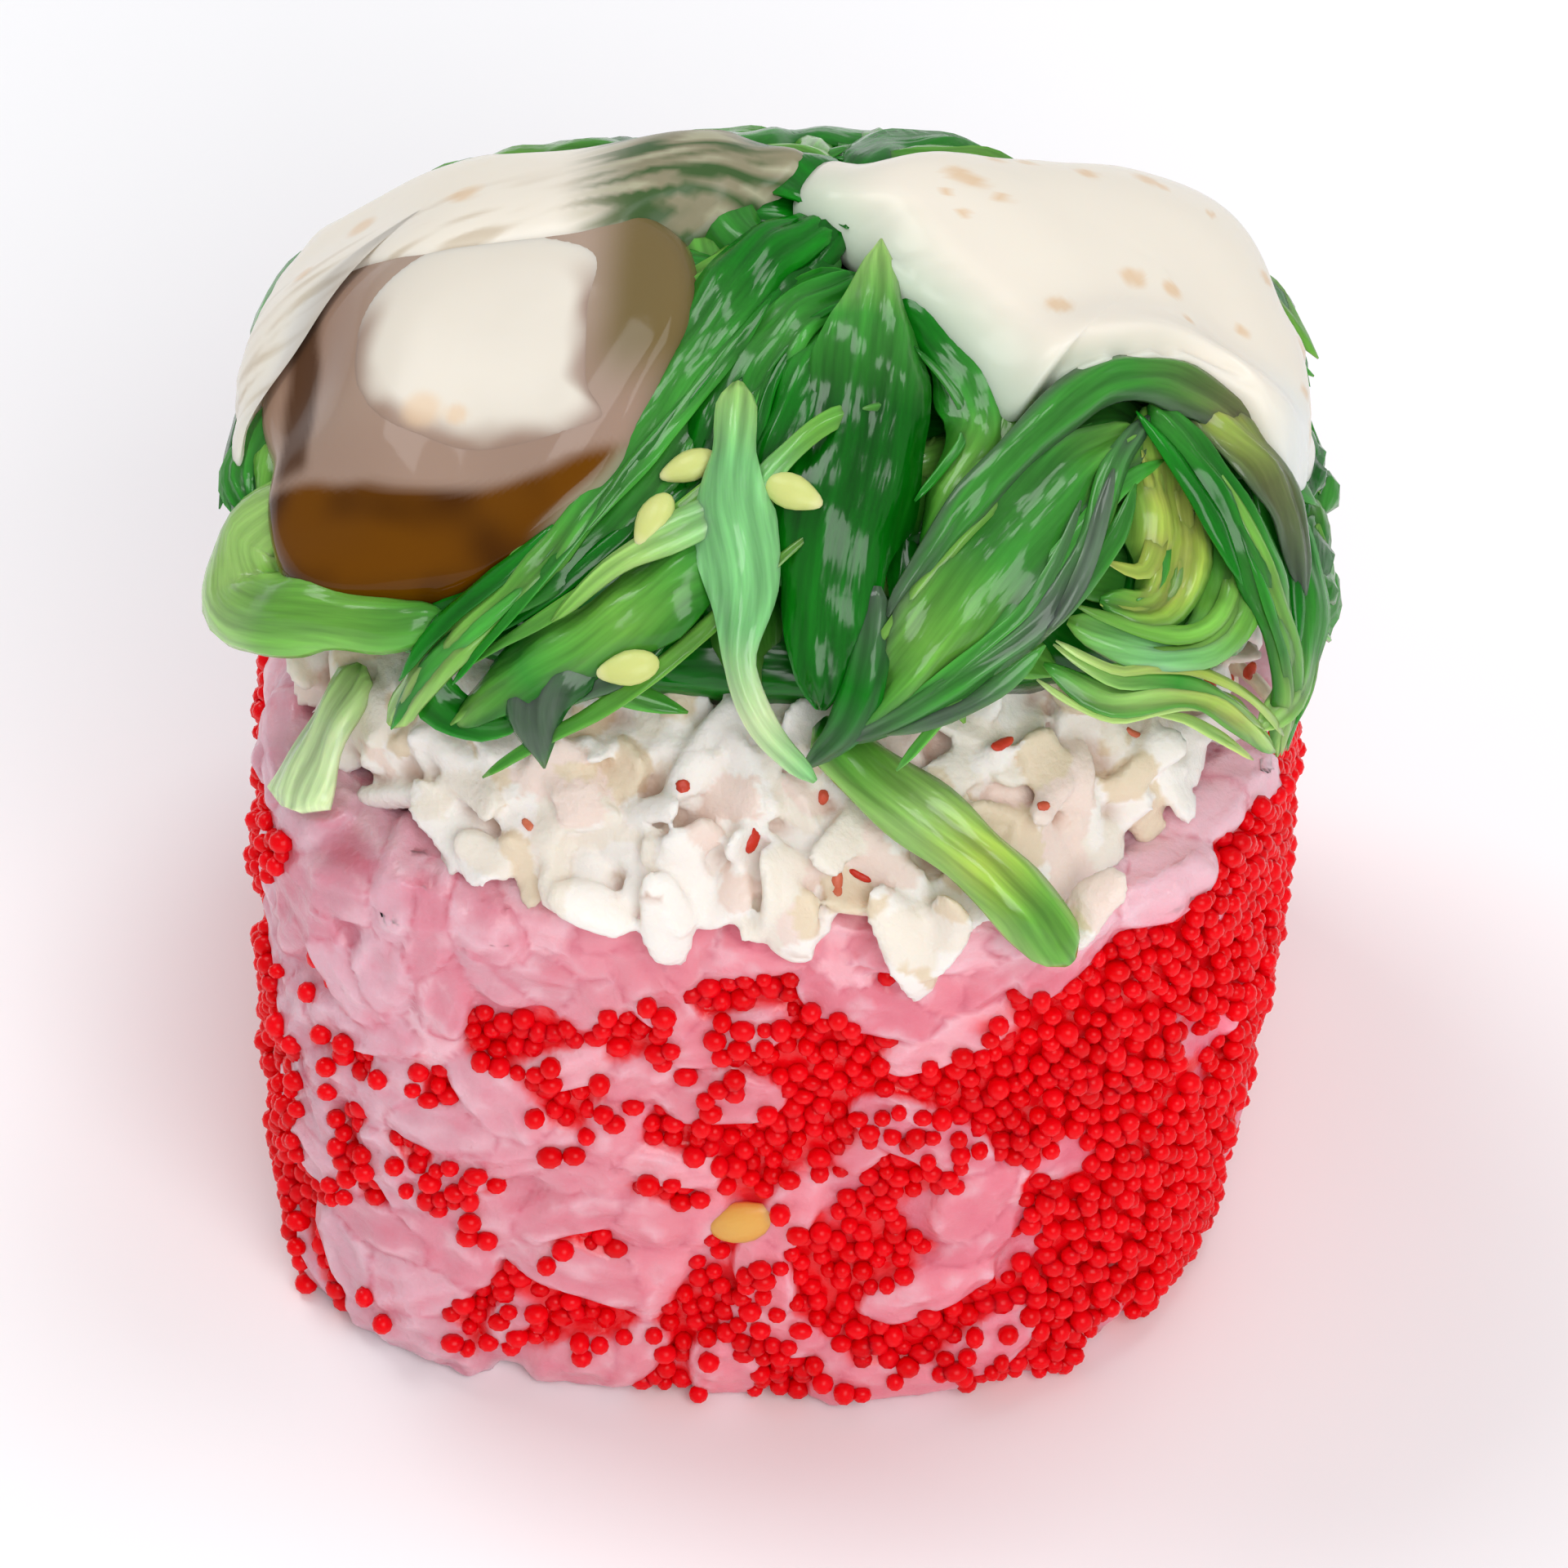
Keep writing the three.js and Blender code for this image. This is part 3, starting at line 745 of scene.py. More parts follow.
# Each strip: its route over the heap, widths along it, colours along it, and the rest by name.
STRIPS = (
    # Strands that sweep from the top to the front left.
    (((4, 6, 0.0), (-1, 0, 0.7), (-4, -6, 0.6), (-8, -13, 0.5),
      (-12, -19, 0.7), (-17, -24, 0.8), (-23, -28, 0.8), (-28, -31, 0.4)),
     (2.0, 3.0, 3.0, 2.6, 2.2, 2.2, 2.0, 1.5), (DARK, DARK, MID, MID, BRIGHT, LIGHT), {"ridges": 3}),
    (((3, 2, 0.0), (-2, -5, 0.1), (-6, -12, 0.0), (-9, -18, 0.2),
      (-15, -23, 0.5), (-22, -25, 0.2), (-27, -25, -0.6)),
     (2.0, 3.0, 3.2, 3.0, 2.6, 2.6, 1.6), (DEEP, DARK, MID, DARK, DARK), {"ridges": 3, "edge": MID}),
    (((5, -1, 0.0), (1, -5, 0.5), (-2, -10, 0.4), (-4, -16, 0.2), (-9, -22, 0.1), (-14, -26, 0.2)),
     (2.0, 3.0, 3.4, 3.4, 3.0, 2.0), (DARK, MID, DARK, DEEP, DARK), {"ridges": 3}),
    (((6, -4, 0.2), (3, -9, 0.5), (1, -15, 0.4), (-1, -21, 0.0)),
     (1.4, 2.4, 2.6, 1.4), (MID, DARK, DEEP), {"ridges": 2}),
    # Broad leaf with a light rib, under the pale stalk.
    (((1, -18, 0.8), (-4, -22, 0.7), (-8, -25, 0.6), (-13, -28, 0.7), (-18, -30, 0.5), (-23, -32, 0.2)),
     (1.2, 3.2, 4.4, 3.6, 2.6, 1.0), (BRIGHT, MID, BRIGHT, MID, BRIGHT),
     {"ridges": 1, "ridge": 0.3, "edge": DARK}),
    (((-6, -27, 0.3), (-10, -30, 0.5), (-14, -31, 0.3), (-19, -32, 0.0)),
     (0.8, 1.3, 1.3, 0.6), (DEEP, GREY, DARK), {}),
    (((-11, -27, 0.0), (-14, -29, 0.5), (-16, -32, 0.9), (-16, -36, 0.9)),
     (2.0, 3.2, 2.6, 0.3), (DARK, GREY, GREY), {"edge": DEEP}),
    # Big dark leaf down the middle.
    (((6, 0, 1.6), (6, -7, 1.2), (6, -14, 0.9), (5, -21, 0.8), (5, -27, 0.6), (5, -32, 0.3)),
     (0.3, 3.4, 5.2, 5.4, 3.8, 1.6), (LIGHT, MID, DEEP, DEEP, DARK, DEEP),
     {"ridges": 2.5, "ridge": 0.22, "cup": 0.14, "thick": 0.5}),
    (((8, -24, 0.7), (8, -29, 0.9), (7, -33, 0.6), (4, -36, 0.2)),
     (1.0, 1.6, 1.6, 0.6), (GREY, DARK, GREY), {"turn": (20, 0, -20)}),
    (((7, -1, 0.4), (11, -5, 0.6), (14, -9, 0.6), (15, -13, 0.4), (13, -18, 0.3), (11, -22, 0.0)),
     (1.4, 3.2, 4.4, 4.6, 3.2, 0.8), (DARK, DARK, MID, BRIGHT, DARK),
     {"ridges": 1.5, "ridge": 0.25, "edge": DARK}),
    # Folded bundle on the right: an arch with loose inner folds.
    (((8, -33, 0.2), (11, -29, 0.9), (14, -24, 1.3), (17, -19, 1.5), (20, -14, 1.5), (24, -10, 1.2)),
     (1.4, 3.4, 4.6, 4.6, 3.2, 1.6), (MID, BRIGHT, MID, MID, BRIGHT),
     {"ridges": 2, "ridge": 0.3, "edge": GREY}),
    (((9, -26, 0.9), (13, -19, 1.9), (17, -13, 2.3), (21, -8, 2.3),
      (26, -6, 2.2), (31, -6, 1.7), (36, -8, 0.9)),
     (0.8, 1.4, 1.6, 1.8, 2.4, 2.6, 1.2), (GREY, MID, MID, MID, OLIVE, GREY),
     {"turn": (35, 10, 0), "edge": GREY, "thick": 0.5}),
    (((7, -34, 0.4), (11, -32, 0.9), (15, -29, 1.4),
      (19, -25, 1.7), (21, -20, 1.9), (22, -14, 1.9), (24, -9, 1.6)),
     (0.8, 1.2, 1.2, 1.2, 1.1, 1.1, 0.8), (GREY, MID, GREY, MID, GREY), {"turn": (25, 15, 0)}),
    (((24, -8, 1.4), (26, -12, 0.9), (28, -17, 0.3), (27, -21, 0.5), (23, -22, 0.8)),
     (1.6, 3.4, 3.6, 2.4, 1.0), (BRIGHT, YELLOW, YELLOW, MID),
     {"ridges": 1.5, "ridge": 0.3, "edge": MID}),
    (((28, -8, 0.8), (31, -12, 0.4), (33, -17, 0.4), (31, -22, 0.7), (26, -24, 0.9), (21, -24, 1.0)),
     (1.4, 2.2, 2.6, 2.2, 1.8, 1.2), (BRIGHT, MID, BRIGHT, SHEER, BRIGHT),
     {"ridges": 1.5, "turn": (0, 20, 0)}),
    (((24, -8, 1.7), (28, -11, 1.9), (32, -14, 1.7), (36, -17, 1.2), (40, -20, 0.6), (44, -23, -0.4)),
     (1.6, 2.2, 2.4, 2.0, 1.8, 0.5), (MID, DARK, MID, BRIGHT, LIGHT), {"ridges": 2, "edge": DARK}),
    (((26, -6, 1.7), (31, -8, 2.0), (35, -10, 1.7), (39, -14, 1.0)),
     (1.2, 2.8, 2.2, 0.5), (YELLOW, OLIVE, GREY), {"edge": GREY}),
    (((33, -5, 0.6), (37, -10, 0.6), (40, -15, 0.6), (41, -20, 0.4), (39, -24, 0.2)),
     (1.6, 2.6, 2.6, 2.2, 0.8), (MID, DARK, MID, LIGHT), {"ridges": 2}),
    (((20, -27, 0.9), (25, -28, 1.1), (30, -26, 1.0), (35, -25, 0.8), (42, -24, 0.2)),
     (0.8, 1.6, 1.5, 1.5, 0.7), (MID, LIGHT, YELLOW, LIGHT), {"edge": MID, "turn": (-20, -30, 0)}),
    # Fat loop, crimped bit and small leaves on the left.
    (((-29, -13, -0.6), (-34, -13, 0.4), (-38, -14, 0.8),
      (-39, -18, 1.0), (-36, -21, 1.4), (-31, -23, 1.4), (-26, -25, 0.9), (-22, -25, 0.0)),
     (2.4, 3.4, 3.6, 3.6, 3.4, 3.0, 2.4, 1.2), (BRIGHT, LIGHT, LIGHT, BRIGHT, BRIGHT, MID),
     {"thick": 1.5, "ridges": 1, "cup": 0.2}),
    (((-33, -2, 0.2), (-37, -5, 0.7), (-39, -8, 0.7), (-38, -12, 0.3)),
     (1.2, 2.2, 2.4, 1.2), (DARK, MID, DARK), {"thick": 1.0, "ridges": 4, "ridge": 0.25}),
    (((-24, -27, 0.0), (-24, -30, 0.0), (-21, -32, -0.1), (-17, -32, -0.3)),
     (1.2, 1.8, 1.6, 0.8), (MID, DARK, MID), {}),
    # Pale, sheer stalk that forks.
    (((-2, -12, 1.6), (-2, -16, 1.9), (-2, -20, 1.7),
      (-1, -25, 1.4), (-1, -30, 1.6), (1, -34, 1.8), (5, -37, 1.4)),
     (1.6, 1.5, 3.6, 2.6, 1.3, 1.1, 0.9), (LIGHT, SHEER, SHEER, SHEER, PALE, SHEER),
     {"ridges": 2, "cup": 0.25, "thick": 0.5}),
    (((-2, -20, 1.5), (-6, -22, 1.5), (-10, -24, 1.4), (-14, -27, 1.3)),
     (1.6, 1.4, 1.0, 0.4), (SHEER, LIGHT, BRIGHT), {}),
    (((-1, -20, 1.4), (1, -17, 1.5), (4, -14, 1.4), (8, -12, 1.0)),
     (1.2, 1.0, 0.9, 0.5), (SHEER, BRIGHT, MID), {}),
    # Loose bits at the top.
    (((-8, 11, -0.8), (-4, 13, 0.0), (0, 12, 0.2), (4, 9, 0.0)),
     (0.8, 2.2, 2.4, 1.0), (LIGHT, BRIGHT, MID), {"edge": LIGHT}),
    (((-12, 8, -0.6), (-5, 7, -0.1), (2, 7, -0.1), (9, 5, -0.2)),
     (1.6, 3.2, 3.2, 1.4), (MID, DEEP, DARK, MID), {"ridges": 3}),
)
FRONT_STRIP = (  # this one and the next hang free, so their places are x, y and z
    ((2.4, -15, 34.2), (4.6, -16.6, 33), (7.8, -18.1, 31.4), (10.4, -19.2, 29.4), (12.4, -19.9, 26.8)),
    (2.2, 2.7, 2.7, 2.7, 2.2),
    (DARK, BRIGHT, LIGHT, YELLOW, BRIGHT, BRIGHT),
)
LEFT_STRIP = (
    ((-15.6, -10.4, 31.6), (-16.9, -12.5, 29.8), (-18.0, -14.8, 27.9)),
    (1.6, 2.6, 3.2),
    (LIGHT, PALE, PALE),
)


def companion(rng, route, widths, tones):
    """A thin strand that runs along part of a strip, on top of it."""
    places, _ = even_steps(spline(route), 3.0)
    first = rng.integers(0, max(len(places) - 5, 1))
    last = rng.integers(min(first + 5, len(places)), len(places) + 1)
    part = places[first:last]
    ahead = unit(np.gradient(part[:, :2], axis=0))
    wave = 0.5 * np.sin(np.linspace(0, rng.uniform(2, 5), len(part)) + rng.uniform(0, 6))
    aside = rng.uniform(-0.6, 0.6) * max(widths) / 0.6 + wave
    part[:, :2] += np.stack([-ahead[:, 1], ahead[:, 0]], -1) * aside[:, None]
    part[:, 2] += rng.uniform(0.0, 0.35)
    width = rng.uniform(0.4, 1.0)
    shades = [np.array(tones[k]) * rng.uniform(0.7, 1.5) for k in rng.integers(0, len(tones), 3)]
    widths = (0.3, width, width, 0.3)
    return ribbon(on_heap(part), widths, shades, rng, thick=0.36, ridges=1, cup=0.05, columns=5)


def wandering(rng, right, back, heading, length, height):
    """A route that wanders over the heap from a place, in degrees."""
    route, steps = [], 5
    bend = rng.normal(0, 0.28)
    for _ in range(steps):
        route.append((right, back, height + rng.uniform(-0.35, 0.35)))
        right += length / steps * math.cos(heading)
        back += length / steps * math.sin(heading)
        heading += bend + rng.normal(0, 0.15)
    return route


def gathered(made):
    """The points, faces, strand and tint of several ribbons as one."""
    points, faces = join([(p, f) for p, f, _, _ in made])
    return points, faces, np.concatenate([m[2] for m in made]), np.concatenate([m[3] for m in made])


def filler(rng, route, widest, ridges=None):
    """A plain strip over the heap, in greens picked at random."""
    tones = [FILLER_TONES[k] for k in rng.integers(0, len(FILLER_TONES), 3)]
    width = rng.uniform(1.2, widest)
    ridges = rng.integers(1, 4) if ridges is None else ridges
    return ribbon(on_heap(route), (0.4, width, width, 0.4), tones, rng, ridges=ridges, columns=7)


def seaweed_salad():
    rng = np.random.default_rng(41)
    made = []
    for route, widths, tones, rest in STRIPS:
        made.append(ribbon(on_heap(route), widths, tones, rng, **rest))
        if "thick" not in rest and len(route) > 4:
            made.extend(companion(rng, route, widths, tones) for _ in range(4))
    strips = gathered(made)
    salad = piece("seaweed_strips", *strips[:2], SEAWEED_SKIN, "seaweed", strips[3], strips[2])
    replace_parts(salad, "seaweed_salad")

    # What fills the heap under them, with the last fillers at the back.
    made = [on_bed(rng)]
    while len(made) <= FILLERS:
        front = -34 if len(made) <= FILLERS_ALL_ROUND else 8
        right, back = rng.uniform(-46, 46), rng.uniform(front, 44)
        if math.hypot(right / 45, back / 43) > 0.95:
            continue
        inner = fade(-back, 0, 8) * fade(40 - abs(right), 0, 6)
        behind = fade(back, 12, 24)
        height = rng.uniform(-1.7, -0.9) * inner + rng.uniform(-0.9, 0.7) * (1 - inner) - 1.2 * behind
        heading = rng.uniform(0, 2 * math.pi)
        route = wandering(rng, right, back, heading, rng.uniform(16, 34), height)
        reach_out = max(math.hypot(r / 46, b / (46 if b > 0 else 33)) for r, b, _ in route)
        if reach_out > 1:
            continue
        made.append(filler(rng, route, 3.6))
    # And under the right edge of the cream.
    for _ in range(FILLERS_RIGHT):
        right, back, heading = rng.uniform(40, 45), rng.uniform(-14, 4), rng.uniform(1.3, 1.9)
        route = wandering(rng, right, back, heading, rng.uniform(10, 18), rng.uniform(-1.6, -0.7))
        made.append(filler(rng, route, 3.0, ridges=2))
    bed = gathered(made)
    piece("seaweed_bed", *bed[:2], SEAWEED_SKIN, "seaweed", bed[3], bed[2])
    solids = [strips[:2], bed[:2]]
    round_ended = {"thick": 0.8, "ridges": 2, "edge": LIGHT}
    square_ended = {"thick": 0.7, "ridges": 2, "cup": 0.05, "taper": 0.01}
    for name, node, (route, widths, tones), extra in (
        ("loose_strip_front", "seaweed_strip_front", FRONT_STRIP, round_ended),
        ("loose_strip_left", "seaweed_strip_left", LEFT_STRIP, square_ended),
    ):
        p, f, s, t = ribbon(np.array(route), widths, tones, rng, **extra)
        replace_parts(piece(name, p, f, SEAWEED_SKIN, "seaweed", t, s), node)
        solids.append((p, f))
    return solids


def on_bed(rng):
    """A lumpy dark mound inside the heap."""
    across, down = 72, 26
    turns = np.linspace(0, 2 * math.pi, across, endpoint=False)
    shares = np.linspace(1, 0.04, down)
    edge_back = np.where(np.sin(turns) > 0, BED_SPREAD, BED_FRONT)
    right = BED_SPREAD * np.cos(turns)[None, :] * shares[:, None]
    back = (edge_back * np.sin(turns))[None, :] * shares[:, None]
    direction = towards(right.ravel(), back.ravel())
    distance = reach(direction) - BED_DEPTH
    even_top = CORE + direction * distance[:, None]
    top = CORE + direction * (distance + 0.5 * field(even_top, 3.0))[:, None]
    rim = towards(right[0], back[0])
    low = CORE + rim * (reach(rim) - 5)[:, None]
    up = np.array([0, 0, 1.0])
    crown = CORE + up * (reach(up) - BED_DEPTH)
    points = np.concatenate([[CORE + 20 * up], low, top, [crown]])
    faces = [[0, 1 + (j + 1) % across, 1 + j] for j in range(across)]
    for i in range(down):
        for j in range(across):
            k = (j + 1) % across
            near, far = 1 + i * across, 1 + (i + 1) * across
            faces.append([near + j, near + k, far + k, far + j])
    last = len(points) - 1
    faces.extend([[last, last - across + j, last - across + (j + 1) % across] for j in range(across)])
    tint = mix(DEEP, DARK, fade(field(points, 2.0), -0.5, 0.8))
    strand = points * np.array([1, 1, 0]) + np.array([0, 0, 7.0])
    return points, faces, strand, tint


# Sauces ----------------

CREAM = colour(236, 228, 214)
# The same cream painted darker, as shade on the patch over the brown sauce
PATCH_CREAM_SHADED = 0.88 * CREAM
# Painted shade of the fine wrinkles in the cream's skin
CREAM_WRINKLE_SHADE = colour(200, 184, 160)
CREAM_COOL = colour(226, 232, 228)
CREAM_THIN = colour(180, 200, 178)
CREAM_SPECK = colour(222, 184, 138)
FILM = colour(116, 110, 74)  # cream drawn thin over the strands
FILM_GREEN = colour(36, 84, 32)
FILM_PALE = colour(186, 184, 156)
VEIL = colour(158, 132, 116)
VEIL_PALE = colour(172, 150, 134)
VEIL_WARM = colour(150, 118, 98)
OLIVE_BROWN = colour(108, 92, 48)
AMBER = colour(104, 60, 0)
AMBER_DEEP = colour(70, 36, 0)
AMBER_RIM = colour(176, 176, 150)
GRID = 1.0  # degrees between the samples of the relief that a sauce covers
SPREAD = 60


class Relief:
    """Distances from CORE to the top of the solids under a sauce, over a grid of directions."""

    def __init__(self, solids):
        trees = [BVHTree.FromPolygons(p.tolist(), f) for p, f in solids]
        axis = np.arange(-SPREAD, SPREAD + GRID, GRID)
        right, back = np.meshgrid(axis, axis, indexing="ij")
        direction = towards(right, back)
        self.seen = np.zeros(right.shape)
        for i in range(len(axis)):
            for j in range(len(axis)):
                d = Vector(direction[i, j])
                start = Vector(CORE) + d * 70
                hits = [tree.ray_cast(start, -d, 70) for tree in trees]
                self.seen[i, j] = max([70 - h[3] for h in hits if h[0] is not None], default=0)
        smooth = self.seen
        for _ in range(2):
            smooth = self.neighbours(smooth, np.max)
        for _ in range(5):
            smooth = self.neighbours(smooth, np.mean)
        self.smooth = smooth

    @staticmethod
    def neighbours(values, rule):
        wide = np.pad(values, 1, mode="edge")
        rows, columns = values.shape
        return rule([wide[a : a + rows, b : b + columns] for a in range(3) for b in range(3)], axis=0)

    def at(self, values, right, back):
        x = np.clip((right + SPREAD) / GRID, 0, values.shape[0] - 1.001)
        y = np.clip((back + SPREAD) / GRID, 0, values.shape[1] - 1.001)
        i, j = x.astype(int), y.astype(int)
        s, t = x - i, y - j
        low = values[i, j] * (1 - t) + values[i, j + 1] * t
        high = values[i + 1, j] * (1 - t) + values[i + 1, j + 1] * t
        return low * (1 - s) + high * s


def drape(relief, outline, middle, thickness, rounds, blunt=4, raise_by=0.0, hug=0.72):
    """A sauce over the relief, inside an outline of (right, back) angles round a middle, relaxed by
    so many rounds. It hugs the relief from a share of the way to its edge. Gives points, faces, and
    for each point its angles and its share of the way to the edge."""
    rim = spline(outline, closed=True, per_span=10)
    across, down = len(rim), 34
    shares = np.linspace(0, 1, down + 1)[1:] ** 0.8
    middle = np.array(middle, float)
    places = middle + (rim[None, :, :] - middle) * shares[:, None, None]
    share = np.repeat(shares, across)
    places = np.concatenate([[middle], places.reshape(-1, 2)])
    share = np.concatenate([[0.0], share])
    right, back = places.T
    level = relief.at(relief.smooth, right, back)
    seen = relief.at(relief.seen, right, back)
    hugging = fade(share, hug, 1.0)
    level = level * (1 - hugging) + np.maximum(seen, level - 1.2) * hugging
    level = np.maximum(level, seen - 0.15)
    dome = np.sqrt(np.maximum(1 - share**blunt, 0))
    direction = towards(right, back)
    outer = CORE + direction * (level + raise_by - 0.25 + (thickness + 0.25) * dome)[:, None]
    inner = CORE + direction * (level + raise_by - 0.9 - 0.6 * dome)[:, None]
    points = np.concatenate([outer, inner])
    count = len(places)
    faces = []
    for j in range(across):
        k = (j + 1) % across
        faces.append([0, 1 + j, 1 + k])
        faces.append([count, count + 1 + k, count + 1 + j])
        for i in range(down - 1):
            a, b = 1 + i * across, 1 + (i + 1) * across
            faces.append([a + j, b + j, b + k, a + k])
            faces.append([count + a + k, count + b + k, count + b + j, count + a + j])
        edge = 1 + (down - 1) * across
        faces.append([edge + j, count + edge + j, count + edge + k, edge + k])
    points = relaxed(points, faces, rounds)
    return points, faces, np.concatenate([places, places]), np.concatenate([share, share])


def relaxed(points, faces, rounds):
    """The points after a few rounds of moving each one towards its neighbours."""
    pairs = np.array([[f[k], f[(k + 1) % len(f)]] for f in faces for k in range(len(f))])
    for _ in range(rounds):
        total, count = np.zeros_like(points), np.zeros(len(points))
        for a, b in (pairs.T, pairs.T[::-1]):
            np.add.at(total, a, points[b])
            np.add.at(count, a, 1)
        points = 0.5 * points + 0.5 * total / count[:, None]
    return points


def specks(places, spots):
    """Soft tan specks at (right, back, size) spots."""
    found = np.zeros(len(places))
    for right, back, size in spots:
        away = np.hypot(places[:, 0] - right, places[:, 1] - back)
        found = np.maximum(found, 1 - fade(away, 0.4 * size, size))
    return found


# Outlines of the sauces, as (right, back) in degrees.
CREAM_RIGHT = (
    (0, 5), (3, 2), (6, -2), (9, -5), (12, -8), (15, -12), (17, -10), (20, -8), (25, -5), (29, -5),
    (33, -7), (36, -7), (39, -4), (41, 1), (40, 7), (37, 12), (34, 17), (29, 22), (22, 21), (15, 16),
    (8, 13), (3, 11),
)
CREAM_BAND = (
    (-40, -5), (-42, 2), (-40, 9), (-35, 14), (-28, 15), (-20, 14), (-12, 13.5), (-5, 13), (0, 12),
    (1, 8), (-4, 3), (-9, 0), (-13, -0.5), (-20, -0.3), (-26, 1), (-31, 3.4), (-34, 2), (-36, -1),
    (-38, -6), (-39, -8),
)
CREAM_PATCH = (
    (-28, 0), (-29, -7), (-26.5, -12.5), (-21, -15.6), (-15, -16.4), (-8.8, -15.8), (-10.4, -11.8),
    (-10.8, -5), (-11, 1), (-21, 4.5),
)
BROWN_POOL = (
    (-35.5, -12), (-37, -6), (-37, 0), (-34, 6), (-28, 7), (-20, 7), (-12, 6), (-6, 2), (-5, -6),
    (-7, -12), (-9, -17), (-12, -20), (-17, -23), (-22, -24.3), (-29.5, -23), (-35.4, -18.4),
)


def sauces(relief):
    rng = np.random.default_rng(51)
    # Brown sauce, with a milky veil of cream in it down to the amber pool at its foot.
    points, faces, places, share = drape(relief, BROWN_POOL, (-20, -9), 0.75, 10, hug=0.9)
    right, back = places.T
    wobble = 0.7 * field(points, 2.2)
    shore = -13.4 - 4.2 * fade(right, -35, -20) + 1.6 * fade(right, -17, -9) + 0.4 * wobble
    foot = 1 - fade(back, shore - 0.7, shore + 0.7)
    tint = mix(VEIL, VEIL_PALE, fade(back, -14, -4))
    tint = mix(tint, OLIVE_BROWN, fade(right, -13, -9) * fade(back, -14, -8) * 0.9)
    tint = mix(tint, VEIL_WARM, fade(-right, 25, 29) * fade(back, -11, -5) * 0.85)
    amber = mix(AMBER, AMBER_DEEP, fade(field(points, 2.6, 4.0), -0.2, 1.0))
    tint = mix(tint, amber, foot)
    gap = (1 - fade(np.abs(right + 32.4 + 0.4 * wobble), 0.8, 2.0)) * fade(back, -14, -12)
    tint = mix(tint, AMBER_DEEP, gap * 0.9)
    tint = mix(tint, AMBER_RIM, fade(right, -16, -12) * fade(share, 0.9, 0.99) * foot * 0.8)
    pool = piece("brown_sauce_pool", points, faces, BROWN_SKIN, "brown_sauce", tint)
    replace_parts(pool, "brown_sauce")
    on_pool = Relief([(points, faces)])
    on_pool.smooth = on_pool.seen

    # Cream on the left: a band over the top, streaked with painted shade of fine wrinkles, and a patch
    # that floats on the brown.
    points, faces, places, share = drape(relief, CREAM_BAND, (-24, 7), 0.9, 2)
    right, back = places.T
    lengthwise, across = right * 0.18 + back * 0.05, back * 1.1 - right * 0.22
    streak = field(np.stack([lengthwise, across, right * 0], -1), 1.0)
    # Painted shade: tan streaks where the cream's skin wrinkles, towards the front of the band
    tint = mix(CREAM, CREAM_WRINKLE_SHADE, fade(streak, 0.0, 0.9) * (1 - fade(back, 4, 9)) * 0.8)
    film = fade(right, -15, -9)
    tint = mix(tint, FILM, film * 0.85)
    tint = mix(tint, FILM_GREEN, film * fade(streak, -0.1, 0.3) * 0.85)
    tint = mix(tint, FILM_PALE, film * fade(-streak, 0.3, 0.6) * 0.7)
    tint = mix(tint, CREAM_SPECK, specks(places, ((-29, 9, 1.4), (-21, 7, 1.2), (-33, 6, 1.0))) * 0.6)
    band = piece("cream_band_left", points, faces, CREAM_SKIN, "cream_sauce", tint)
    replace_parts(band, "cream_sauce_left")
    points, faces, places, share = drape(
        on_pool, CREAM_PATCH, (-19, -7), 0.03, 2, blunt=2, raise_by=0.1
    )
    thin = fade(share + 0.06 * field(points, 1.5), 0.62, 0.86) * fade(-places[:, 1], 0, 5)
    # The patch takes the darker, painted-shade copy of the cream
    tint = mix(PATCH_CREAM_SHADED, VEIL, thin)
    tint = mix(tint, CREAM_SPECK, specks(places, ((-22.5, -11.6, 1.7), (-20.3, -12.2, 1.0))) * 0.5)
    piece("cream_patch_left", points, faces, CREAM_SKIN, "cream_sauce", tint)

    # Cream on the right.
    points, faces, places, share = drape(relief, CREAM_RIGHT, (24, 5), 1.1, 3)
    right, back = places.T
    thin = fade(share, 0.72, 1.0) * (1 - fade(right, 16, 28)) * (1 - fade(back, 4, 9))
    tint = mix(CREAM, CREAM_THIN, thin * 0.8)
    tint = mix(tint, CREAM_COOL, fade(right, 30, 36) * (1 - fade(back, -2, 4)) * 0.8)
    spots = [(rng.uniform(8, 38), rng.uniform(-4, 16), rng.uniform(0.5, 1.3)) for _ in range(22)]
    tint = mix(tint, CREAM_SPECK, specks(places, spots) * 0.65)
    right_sauce = piece("cream_right", points, faces, CREAM_SKIN, "cream_sauce", tint)
    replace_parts(right_sauce, "cream_sauce_right")


# Seeds and flecks ----------------


def sesame_shape():
    """A seed along X, pointed at one end, 3 mm long."""
    shape, faces = ball(14, 10)
    narrow = 1 - 0.3 * fade(shape[:, 0], -0.2, 1.0)
    pointed = np.stack([np.ones_like(narrow), narrow, narrow], -1)
    return shape * np.array([1.5, 1.0, 0.55]) * pointed, faces


SEEDS = (  # right, back and turn, in degrees, of the seeds on the heap
    (-5, -17, 20), (2, -19, 155), (-7, -21, 60), (-9, -30, 10), (22, 27, 40), (-20, 30, 100),
    (-5, 33, 150), (34, 21, 80),
)
GOLDEN = (-0.2, 10.4, 28)  # x, z and turn of the seed on the front wall
HEAP_SEED = np.array([0.82, 0.72, 0.8])  # size of the seeds on the heap against that one
PALE_SEED = colour(206, 212, 130)
GOLDEN_SEED = colour(226, 172, 84)
SEED_TIP = colour(232, 226, 176)


def settle(trees, start, inward):
    """The first place where a ray meets the solids, and the direction that faces out there."""
    hits = [tree.ray_cast(Vector(start), Vector(inward), 90) for tree in trees]
    hits = [h for h in hits if h[0] is not None]
    if not hits:
        return None
    place, normal, _, _ = min(hits, key=lambda h: h[3])
    normal = np.array(normal)
    return np.array(place), normal if normal @ np.asarray(inward) < 0 else -normal


